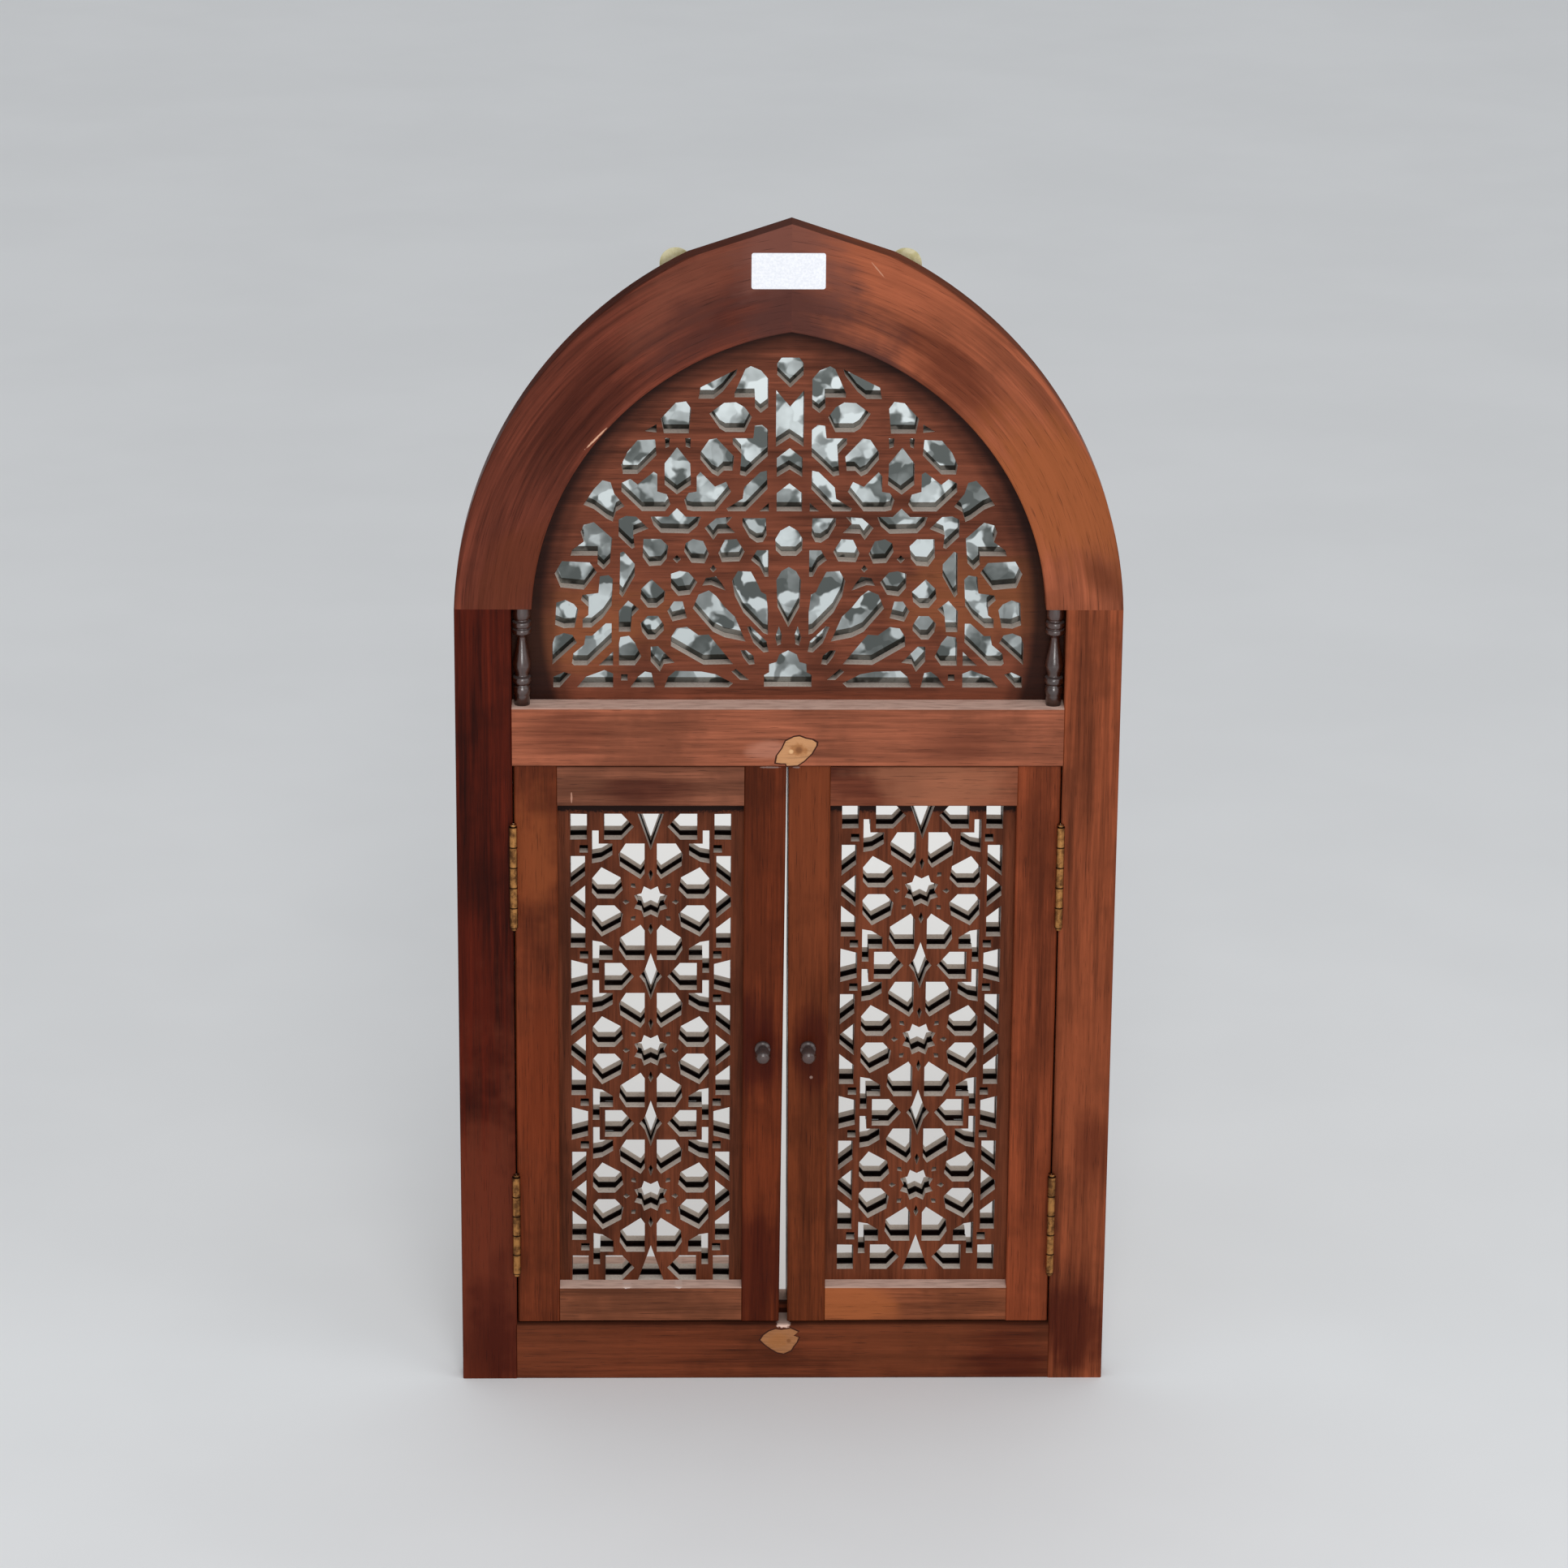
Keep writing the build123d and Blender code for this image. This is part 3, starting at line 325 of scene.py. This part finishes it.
def brass(name, bright, dull, metallic=1.0, lowest_seam=None, heads=()):
    """Tarnished brass; on a hinge, with dark seams between its knuckles, counted from the lowest.

    heads are the (x, z) of flush screw heads, in millimetres.
    """
    g = Graph(name)
    place = g.coords.outputs["Object"]
    tarnish = g.noise(place, 120, detail=5, roughness=0.7)
    scratch = g.stretched(place, (900, 900, 60), detail=3)
    colour = g.mix(g.remap(tarnish, 0.4, 0.62), bright, dull)
    if lowest_seam is not None:
        above = g.math("SUBTRACT", g.axis(place, "Z"), lowest_seam)
        seam = g.math("PINGPONG", above, KNUCKLE / 2)
        colour = g.mix(g.remap(seam, 0.3 * MM, 0.8 * MM, 0.9, 0), colour, NEAR_BLACK)
    for head in heads:
        rim = g.oval(head, 0, HEAD_RADIUS, HEAD_RADIUS)
        ring = g.math("MULTIPLY", g.remap(rim, 0.84, 0.94), g.remap(rim, 1.0, 1.12, 1, 0))
        slot = g.remap(g.oval(head, SLOT_ANGLE, *SLOT), 0.7, 1.1, 1, 0)
        colour = g.mix(g.math("MULTIPLY", g.math("MAXIMUM", ring, slot), 0.85), colour, NEAR_BLACK)
    g.surface(Base_Color=colour, Metallic=metallic, Roughness=g.remap(tarnish, 0.35, 0.7, 0.3, 0.55),
              Normal=g.bump(scratch, 0.12, 0.0002))
    return g.material


def mirror(name):
    """Silvered glass with a little foxing, clear behind the doors, and behind the lunette grey patches of
    painted shade and painted reflection.
    """
    g = Graph(name)
    place = g.coords.outputs["Object"]
    patchy = g.remap(g.axis(place, "Z"), CLEAR_BELOW, PATCHY_ABOVE)
    haze = g.noise(place, 30, detail=3)
    wander = g.tree.nodes.new("ShaderNodeTexNoise")
    g.set(wander.inputs["Vector"], place)
    wander.inputs["Scale"].default_value = 60
    fox = g.remap(g.noise(place, 210, detail=6, roughness=0.75), 0.68, 0.76)
    cells = g.tree.nodes.new("ShaderNodeTexVoronoi")
    g.set(cells.inputs["Vector"], g.mix(0.02, place, wander.outputs["Color"]))
    cells.feature = "SMOOTH_F1"
    cells.inputs["Scale"].default_value = 90
    cells.inputs["Smoothness"].default_value = 0.35
    grey = g.math("MULTIPLY_ADD", g.math("SUBTRACT", haze, 0.5), 0.9, g.axis(cells.outputs["Color"], "X"))
    # Painted reflection and shade: mottled greys for the dark back of the lunette board seen in the glass.
    upper = g.ramp(grey, [(0.2, (0.08, 0.088, 0.084)), (0.45, (0.21, 0.226, 0.222)),
                          (0.78, (0.50, 0.54, 0.54))])
    clean = g.mix(patchy, (0.84, 0.82, 0.79), upper)
    g.surface(Base_Color=g.mix(g.math("MULTIPLY", fox, 0.5), clean, (0.25, 0.24, 0.22)), Metallic=1.0,
              Roughness=g.remap(haze, 0.4, 0.7, 0.015, 0.05))
    return g.material


def paper(name):
    """White label paper with a fine fibre."""
    g = Graph(name)
    fibre = g.noise(g.coords.outputs["Object"], 700, detail=4)
    g.surface(Base_Color=g.mix(g.remap(fibre, 0.35, 0.65), srgb(228, 230, 236), srgb(240, 241, 245)),
              Roughness=0.7, Normal=g.bump(fibre, 0.08, 0.0002), Specular_IOR_Level=0.1)
    return g.material


def bare_wood(name, middle, size, spots, pale):
    """Bare wood under torn finish: a pale rim, a darker middle and darker spots round old screw holes."""
    g = Graph(name)
    place = g.coords.outputs["Object"]
    fibre = g.stretched(place, (60, 900, 900), detail=4)
    blot = g.noise(place, 230, detail=4, roughness=0.7)
    colour = g.ramp(fibre, [(0.35, tuple(part * 0.72 for part in pale)), (0.55, pale)])
    reach = g.oval(middle, 0, size, size / 1.4)
    inner = g.remap(g.math("MULTIPLY_ADD", g.math("SUBTRACT", blot, 0.5), 1.6, reach), 0.4, 1.0, 0.75, 0)
    colour = g.mix(inner, colour, srgb(156, 100, 56))
    for spot, radius, tone in spots:
        colour = g.mix(g.remap(g.oval(spot, 0, radius, radius), 0.5, 1.3, 0.85, 0), colour, tone)
    g.surface(Base_Color=colour, Roughness=0.8, Normal=g.bump(fibre, 0.6, 0.0006), Specular_IOR_Level=0.2)
    return g.material


def dress(name, material):
    """Give a CAD node or a piece its material."""
    target = nodes[name] if isinstance(name, str) else name
    target.data.materials.clear()
    target.data.materials.append(material)


# ---------------------------------------------------------------- wood for each member
# Places are (x, z) in millimetres.
STILE_MIDDLE = (STILE_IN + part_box("stile_right")[1].x) / 2 / MM
dress("stile_left", wood("Stile left", UP, shades(70, 31, 25, 0.7), seed=1, patches=[
    (seen(104, 52, 38), (-STILE_MIDDLE, 60), 130, 0.75), (DARK_PATCH_AND_SHADE, (-STILE_MIDDLE, 30), 40, 0.7)]))
dress("stile_right", wood("Stile right", UP, shades(118, 63, 43), seed=2, patches=[
    (DARK_PATCH_AND_SHADE, (STILE_MIDDLE, 45), 38, 0.75), (DARK_PATCH_AND_SHADE, (STILE_MIDDLE + 10, 178), 26, 0.5)]))
dress("bottom_rail", wood("Bottom rail", 0, shades(95, 51, 36), seed=3, patches=[
    (seen(108, 60, 42), (-150, 26), 40, 0.4), (seen(112, 62, 42), (90, 26), 50, 0.5),
    (DARK_PATCH_AND_SHADE, (165, 14), 34, 0.6)],
    marks=[(PALE_WEAR_AND_SHEEN, (0.3, 42), (5.2, 2.4))]))
dress("mid_rail", wood("Mid rail", 0, shades(136, 80, 60), seed=4, worn_and_lit_top=True, patches=[
    (seen(168, 112, 92), (-13, 480), 9, 0.75), (DARK_PATCH_AND_SHADE, (-150, 490), 30, 0.4),
    (DARK_PATCH_AND_SHADE, (120, 484), 30, 0.4)]))
dress("arch_left", wood("Arch left", 46, shades(98, 52, 41), seed=5, bent=True, patches=[
    (seen(58, 31, 26), (-142, 726), 40, 0.55), (seen(122, 72, 57), (-60, 812), 46, 0.5),
    (seen(68, 41, 37), (-50, 788), 44, 0.7), (seen(94, 50, 36), (-182, 612), 34, 0.7),
    (SHADED_APEX, (0, 796), 66, 0.95), (APEX, (0, 846), 44, 0.9)],
    marks=[(seen(196, 150, 124), (-132, 704), (11, 0.7))]))
dress("arch_right", wood("Arch right", -50, shades(132, 74, 53), seed=6, bent=True, patches=[
    (seen(84, 43, 32), (112, 746), 34, 0.7), (seen(146, 83, 50), (186, 662), 60, 0.75),
    (seen(96, 52, 36), (214, 606), 18, 0.7), (SHADED_APEX, (0, 796), 66, 0.95), (APEX, (0, 846), 44, 0.9)],
    marks=[(seen(176, 124, 100), (58, 822), (7, 0.5))]))
dress("arch_tenons", wood("Tenons", 60, (srgb(120, 84, 56), srgb(164, 122, 84), srgb(190, 150, 110)), seed=7))

DOOR_COLOURS = {
    "left": {"outer_stile": (99, 50, 34), "meeting_stile": (89, 44, 30), "top_rail": (119, 74, 57),
             "bottom_rail": (116, 70, 51), "panel": (92, 52, 38)},
    "right": {"outer_stile": (114, 58, 39), "meeting_stile": (96, 50, 33), "top_rail": (120, 70, 52),
              "bottom_rail": (121, 70, 49), "panel": (96, 54, 39)}}
DOOR_PATCHES = {
    ("left", "outer_stile"): [(seen(134, 72, 44), (-176, 400), 46, 0.7),
                              (seen(116, 54, 34), (-174, 230), 60, 0.5)],
    # The patch at (-22, 255) lies round the knob: painted shadow of the knob.
    ("left", "meeting_stile"): [(DARK_PATCH_AND_SHADE, (-22, 255), 30, 0.75), (DARK_PATCH_AND_SHADE, (-24, 80), 44, 0.6)],
    ("left", "top_rail"): [(DARK_PATCH_AND_SHADE, (-105, 444), 34, 0.6)],
    # The patch at (18, 250) lies round the knob: painted shadow of the knob.
    ("right", "meeting_stile"): [(DARK_PATCH_AND_SHADE, (18, 250), 26, 0.7), (seen(120, 63, 41), (24, 400), 60, 0.5)],
    ("right", "top_rail"): [(DARK_PATCH_AND_SHADE, (58, 452), 30, 0.6), (seen(152, 98, 74), (110, 452), 36, 0.6)],
    ("right", "bottom_rail"): [(seen(160, 92, 56), (44, 58), 26, 0.7)]}
# Painted shadow of the top rail on each door's pierced panel.
RAIL_SHADOW = srgb(34, 17, 13)
RUBBED = srgb(132, 106, 97)
DOOR_MARKS = {
    ("left", "panel"): [(RAIL_SHADOW, (-95, 433), (5, 120))],
    ("right", "panel"): [(RAIL_SHADOW, (95, 433), (5, 120))],
    ("left", "bottom_rail"): [(CHALK, (-112, 70.6), (3.2, 1.1)), (CHALK, (-75, 70.6), (2.8, 1.0))],
    ("left", "top_rail"): [(srgb(172, 126, 106), (-150, 444), (0.7, 4))],
    ("left", "meeting_stile"): [(RUBBED, (-12, 466.2), (0.7, 7))],
    ("right", "meeting_stile"): [(RUBBED, (6, 466.2), (0.7, 3)), (RUBBED, (18.5, 233.5), (1.2, 1.2))]}
for side, seed in (("left", 10), ("right", 20)):
    for step, (part, colour) in enumerate(DOOR_COLOURS[side].items()):
        upright = part.endswith(("stile", "panel"))
        dress(f"door_{side}_{part}", wood(
            f"Door {side} {part}", UP if upright else 0, shades(*colour), seed=seed + step,
            patches=DOOR_PATCHES.get((side, part), ()), marks=DOOR_MARKS.get((side, part), ()),
            cut_walls=DOOR_WALLS if part == "panel" else None, worn_and_lit_top=part == "bottom_rail"))
dress("lunette_panel", wood(
    "Lunette panel", 0, shades(104, 60, 46), seed=30, cut_walls=LUNETTE_WALLS, arch_shade=True,
    patches=[(seen(138, 84, 54), (-150, 560), 60, 0.5), (seen(138, 84, 54), (150, 580), 60, 0.5)]))

CASE_TONES = (srgb(112, 74, 46), srgb(150, 104, 68), srgb(178, 132, 92))
for name, angle in (("side_batten_left", UP), ("side_batten_right", UP), ("slant_batten_left", SLANT),
                    ("slant_batten_right", -SLANT), ("top_batten", 0)):
    dress(name, wood(f"Wood {name}", angle, CASE_TONES, seed=40 + angle, roughness=(0.55, 0.75), stain=0.25))
for name, seed in (("bottom_batten", 51), ("mid_batten", 52)):
    dress(name, wood(f"Wood {name}", 0, shades(92, 50, 38), seed=seed))
BOARD_TONES = (srgb(120, 84, 56), srgb(158, 116, 80), srgb(182, 142, 104))
dress("backing_board", wood("Backing board", UP, BOARD_TONES, seed=60, roughness=(0.6, 0.8), stain=0.3))
dress("mirror_glass", mirror("Mirror"))

HINGE_TONES = (srgb(184, 130, 76), srgb(100, 66, 40))
for level in ("lower", "upper"):
    hinges = [name for name in nodes if name.startswith("hinge_") and level in name]
    lowest = min(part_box(name)[0].z for name in hinges)
    highest = max(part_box(name)[1].z for name in hinges)
    lowest_seam = (lowest + highest) / 2 - KNUCKLE / 2
    hinge_brass = brass(f"Hinge brass {level}", *HINGE_TONES, lowest_seam=lowest_seam)
    for name in hinges:
        dress(name, hinge_brass)
HALF_HANGER = 11
HANGER_DROPS = (24, 35)
plates_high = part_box("hanger_plates")[1]
HANGER_X = plates_high.x / MM - HALF_HANGER
HANGER_HEADS = [(sign * HANGER_X, plates_high.z / MM - drop) for sign in (-1, 1) for drop in HANGER_DROPS]
dress("hanger_plates", brass("Plate brass", srgb(232, 226, 186), srgb(206, 198, 146), metallic=0.25,
                             heads=HANGER_HEADS))


# ---------------------------------------------------------------- pieces
def piece(name, build, material, body, smooth=True):
    """A mesh piece made by build(bmesh), riding on a body."""
    mesh = bpy.data.meshes.new(name)
    bm = bmesh.new()
    build(bm)
    bmesh.ops.recalc_face_normals(bm, faces=bm.faces)
    bm.to_mesh(mesh)
    bm.free()
    for polygon in mesh.polygons:
        polygon.use_smooth = smooth
    made = bpy.data.objects.new(name, mesh)
    bpy.context.scene.collection.objects.link(made)
    dress(made, material)
    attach(made, body)
    return made


def turned(profile, origin, axis, steps=56):
    """Builder of a lathe form: profile is (radius, distance along the axis)."""
    def build(bm):
        direction = Vector(axis)
        side = direction.orthogonal().normalized()
        other = direction.cross(side)
        rings = []
        for radius, distance in profile:
            centre = Vector(origin) + direction * distance
            if radius < 1e-6:
                rings.append([bm.verts.new(centre)])
            else:
                rings.append([bm.verts.new(centre + radius * (side * cos(2 * pi * i / steps)
                                                              + other * sin(2 * pi * i / steps)))
                              for i in range(steps)])
        for low, high in zip(rings, rings[1:]):
            for i in range(steps):
                j = (i + 1) % steps
                corners = [low[i % len(low)], low[j % len(low)], high[j % len(high)], high[i % len(high)]]
                bm.faces.new(list(dict.fromkeys(corners)))
    return build


def bead(inner, outer, low, high, count=7):
    """Profile of a half-round ring from low to high."""
    turns = [pi * i / count for i in range(count + 1)]
    return [(inner + (outer - inner) * sin(turn), low + (high - low) * (0.5 - 0.5 * cos(turn)))
            for turn in turns]


def curve(points, count=6):
    """Smooth profile through points (Catmull-Rom)."""
    padded = [points[0]] + list(points) + [points[-1]]
    result = []
    for a, b, c, d in zip(padded, padded[1:], padded[2:], padded[3:]):
        for i in range(count):
            t = i / count
            result.append(tuple(0.5 * (2 * q + (r - p) * t + (2 * p - 5 * q + 4 * r - s) * t * t
                                       + (3 * q - p - 3 * r + s) * t ** 3) for p, q, r, s in zip(a, b, c, d)))
    return result + [points[-1]]


turned_wood = wood("Turned wood", UP, shades(54, 31, 25), seed=70, roughness=(0.25, 0.33), gloss=0.85,
                   coat=0.5)
# Lathe profiles as (radius, distance) in millimetres; their length is fitted to the CAD piece.
COLONNETTE_LENGTH = 71.6
COLONNETTE = ([(0, 0), (5.4, 0), (5.4, 7)]
              + curve([(5.5, 7.4), (6.1, 9.5), (6.2, 11.5), (5.7, 13.6)]) + [(4.6, 14.4)]
              + bead(5.2, 6.75, 15.2, 20.8)
              + curve([(4.6, 21.6), (4.9, 23.2), (6.0, 26.5), (6.35, 29), (5.8, 33), (4.5, 39),
                       (3.4, 44.5), (2.9, 48), (3.2, 49.4), (4.8, 50.8)])
              + bead(5.6, 6.75, 51.4, 55.6) + bead(5.6, 6.75, 56.2, 60.8) + [(4.9, 61.2), (4.9, 62.2)]
              + curve([(5.6, 62.8), (6.1, 65), (6.1, 69.5), (5.9, COLONNETTE_LENGTH)])
              + [(0, COLONNETTE_LENGTH)])
KNOB_LENGTH = 19.8
KNOB = ([(0, 0), (5.5, 0), (5.7, 0.5), (5.7, 1.6), (5.3, 2.2)]
        + curve([(3.9, 2.5), (3.1, 3.6), (2.9, 5.8), (3.3, 7.8), (4.3, 9), (5.3, 11), (5.68, 13.6),
                 (5.4, 16.2), (4.2, 18.4), (2.4, 19.5), (1.1, 19.75)]) + [(0, KNOB_LENGTH)])
for side in ("left", "right"):
    low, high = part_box(f"colonnette_{side}")
    profile = [(r * MM, h * (high.z - low.z) / COLONNETTE_LENGTH) for r, h in COLONNETTE]
    centre = ((low.x + high.x) / 2, (low.y + high.y) / 2, low.z)
    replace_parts(piece(f"turned_colonnette_{side}", turned(profile, centre, (0, 0, 1)), turned_wood, "frame"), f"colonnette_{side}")
    low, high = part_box(f"door_{side}_knob")
    profile = [(r * MM, h * (high.y - low.y) / KNOB_LENGTH) for r, h in KNOB]
    centre = ((low.x + high.x) / 2, high.y, (low.z + high.z) / 2)
    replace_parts(piece(f"turned_knob_{side}", turned(profile, centre, (0, -1, 0)), turned_wood, f"{side}_door"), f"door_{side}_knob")


def flake(outline, y, thickness, bevel):
    """Builder of a thin plate in the plane at depth y, facing the front, with a bevelled edge."""
    def build(bm):
        middle = Vector((sum(x for x, z in outline), 0, sum(z for x, z in outline))) / len(outline)
        base = [bm.verts.new((x, y, z)) for x, z in outline]
        top = []
        for x, z in outline:
            inward = (middle - Vector((x, 0, z))).normalized() * bevel
            top.append(bm.verts.new((x + inward.x, y - thickness, z + inward.z)))
        bm.faces.new(top)
        for i in range(len(base)):
            j = (i + 1) % len(base)
            bm.faces.new([base[i], base[j], top[j], top[i]])
    return build


def rounded_rectangle(x0, x1, z0, z1, radius, steps=5):
    """Outline of a rectangle with rounded corners, as (x, z)."""
    corners = [(x1 - radius, z1 - radius, 0), (x0 + radius, z1 - radius, 90), (x0 + radius, z0 + radius, 180),
               (x1 - radius, z0 + radius, 270)]
    points = []
    for x, z, start in corners:
        for i in range(steps + 1):
            turn = radians(start + 90 * i / steps)
            points.append((x + radius * cos(turn), z + radius * sin(turn)))
    return points


LABEL_CENTRE = Vector((-2.2, 821.2)) * MM
LABEL_SIZE = Vector((50, 25)) * MM
LABEL_CORNER = 1.6 * MM
LABEL_THICKNESS = 0.15 * MM
THIN_BEVEL = 0.1 * MM
half = LABEL_SIZE / 2
label_outline = rounded_rectangle(LABEL_CENTRE.x - half.x, LABEL_CENTRE.x + half.x,
                                  LABEL_CENTRE.y - half.y, LABEL_CENTRE.y + half.y, LABEL_CORNER)
piece("blank_label", flake(label_outline, FRONT, LABEL_THICKNESS, THIN_BEVEL), paper("Label paper"),
      "frame", smooth=False)

# Torn finish over two old screw places: outlines as (x, z) in millimetres.
MID_CHIP = [(-8.4, 470.6), (-7.5, 476), (-3.9, 481.3), (-1.6, 486.6), (4, 489.6), (7.9, 490.2), (12.4, 488.4),
            (16.9, 487.5), (20, 485.4), (19.7, 483), (16.4, 477.1), (11.3, 471.8), (6.8, 468.6), (2.3, 468.3),
            (-0.8, 468.3), (-1.4, 470), (-4.4, 470)]
BOTTOM_CHIP = [(-16.3, 30.2), (-14, 34.1), (-9.9, 37.3), (-5.2, 38.9), (-1.1, 38.3), (5.3, 39.5),
               (11.2, 36.7), (7.9, 33.6), (11.5, 32.2), (10, 28.3), (7.7, 25.1), (5.9, 21.9), (0.6, 19.3),
               (-4, 20.3), (-8.7, 23.2), (-12.8, 26.4)]
CHIP_THICKNESS = 0.25 * MM
CHIP_BEVEL = 0.8 * MM
RIM_THICKNESS = 0.06 * MM
RIM_GROWTH = 1.08
SCREW_HOLE = srgb(124, 76, 44)
# Each chip sits on a slightly wider dark sheet, its rim: painted shadow of the torn edge.
chip_shadow_rim = wood("Chip shadow rim", 0, [CHIP_SHADOW_RIM] * 3, seed=80)
mid_spots = [((7.6, 480), 2.6, SCREW_HOLE), ((2.3, 478.9), 1.6, srgb(226, 180, 132))]
bottom_spots = [((4.2, 29.6), 1.7, SCREW_HOLE)]
mid_paint = bare_wood("Bare wood middle", (7, 480), 8.5, mid_spots, BARE)
bottom_paint = bare_wood("Bare wood bottom", (-3.5, 30), 10, bottom_spots, srgb(160, 107, 69))
for name, outline, paint in (("mid_chip", MID_CHIP, mid_paint), ("bottom_chip", BOTTOM_CHIP, bottom_paint)):
    middle = sum((Vector(point) for point in outline), Vector((0, 0))) / len(outline)
    wider = [middle + (Vector(point) - middle) * RIM_GROWTH for point in outline]
    for title, points, thickness, bevel, cover in (
            (name, outline, CHIP_THICKNESS, CHIP_BEVEL, paint),
            (f"{name}_rim", wider, RIM_THICKNESS, THIN_BEVEL, chip_shadow_rim)):
        piece(title, flake([(x * MM, z * MM) for x, z in points], FRONT, thickness, bevel), cover,
              "frame", smooth=False)

# Profile of a screw head as (radius, height) in millimetres.
SCREW = [(0, 0), (HEAD_RADIUS, 0), (2.9, 0.05), (0, 0.08)]


def screw(name, place, axis, body):
    """A worn countersunk head, all but flush."""
    profile = [(r * MM, h * MM) for r, h in SCREW]
    piece(name, turned(profile, place, axis, steps=28), screw_brass, body)


screw_brass = brass("Screw brass", srgb(190, 152, 92), srgb(120, 88, 50))
HINGE_SCREW_Y = FRONT + 8.5 * MM
HINGE_SCREW_RISE = 22 * MM
DOOR_GAP = 1 * MM
for side, sign in (("left", -1), ("right", 1)):
    for level in ("lower", "upper"):
        for kind, body, toward in (("frame_leaf", "frame", -1), ("door_leaf", f"{side}_door", 1)):
            low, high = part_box(f"hinge_{side}_{level}_{kind}")
            face = sign * (STILE_IN if kind == "frame_leaf" else STILE_IN - DOOR_GAP)
            for row, step in (("low", -1), ("high", 1)):
                place = (face, HINGE_SCREW_Y, (low.z + high.z) / 2 + step * HINGE_SCREW_RISE)
                screw(f"screw_{side}_{level}_{kind}_{row}", place, (toward * sign, 0, 0), body)


# ---------------------------------------------------------------- floor, light and camera
def floor_material():
    g = Graph("Floor")
    speck = g.noise(g.coords.outputs["Object"], 3, detail=3)
    g.surface(Base_Color=g.mix(g.remap(speck, 0.3, 0.7), (0.84, 0.845, 0.85), (0.87, 0.875, 0.88)),
              Roughness=0.75)
    return g.material


FLOOR_SIZE = 40
FLOOR_SETBACK = 8
bpy.ops.mesh.primitive_plane_add(size=FLOOR_SIZE, location=(0, FLOOR_SETBACK, 0))
floor = bpy.context.object
floor.name = "floor"
dress(floor, floor_material())

world = bpy.data.worlds.new("Soft studio")
bpy.context.scene.world = world
world.use_nodes = True
background = world.node_tree.nodes["Background"]
background.inputs["Color"].default_value = (0.95, 0.975, 1, 1)
background.inputs["Strength"].default_value = 0.61


def soft_light(name, place, target, size, power):
    """A square lamp: its place, its aim and its width in metres, and its power in watts."""
    data = bpy.data.lights.new(name, "AREA")
    data.size = size
    data.energy = power
    lamp = bpy.data.objects.new(name, data)
    lamp.location = place
    lamp.rotation_euler = (Vector(target) - Vector(place)).to_track_quat("-Z", "Y").to_euler()
    bpy.context.scene.collection.objects.link(lamp)


soft_light("Key", (0.25, -3.0, 2.7), (0, 0, 0.45), 1.3, 28)
soft_light("Low key", (0.1, -3.3, 1.1), (0, 0, 0.5), 0.8, 23.5)
soft_light("Fill", (2.6, -1.8, 1.8), (0, 0, 0.45), 2.0, 11)

# The camera, solved from the photo's converging lines.
PHOTO_SIZE = 1932
FOCAL_PIXELS = 6978
CAMERA_ROLL = 0.478
CAMERA_PLACE = (-0.0887, FRONT - 3.6993, 1.7803)
CAMERA_AIM = (-0.0025, FRONT, 0.455)
camera_data = bpy.data.cameras.new("Camera")
camera_data.lens = camera_data.sensor_width * FOCAL_PIXELS / PHOTO_SIZE
camera = bpy.data.objects.new("Camera", camera_data)
camera.location = CAMERA_PLACE
look = (Vector(CAMERA_AIM) - camera.location).to_track_quat("-Z", "Y")
camera.rotation_euler = (look @ Quaternion((0, 0, 1), radians(CAMERA_ROLL))).to_euler()
bpy.context.scene.collection.objects.link(camera)
bpy.context.scene.camera = camera
bpy.context.scene.view_settings.view_transform = "Standard"
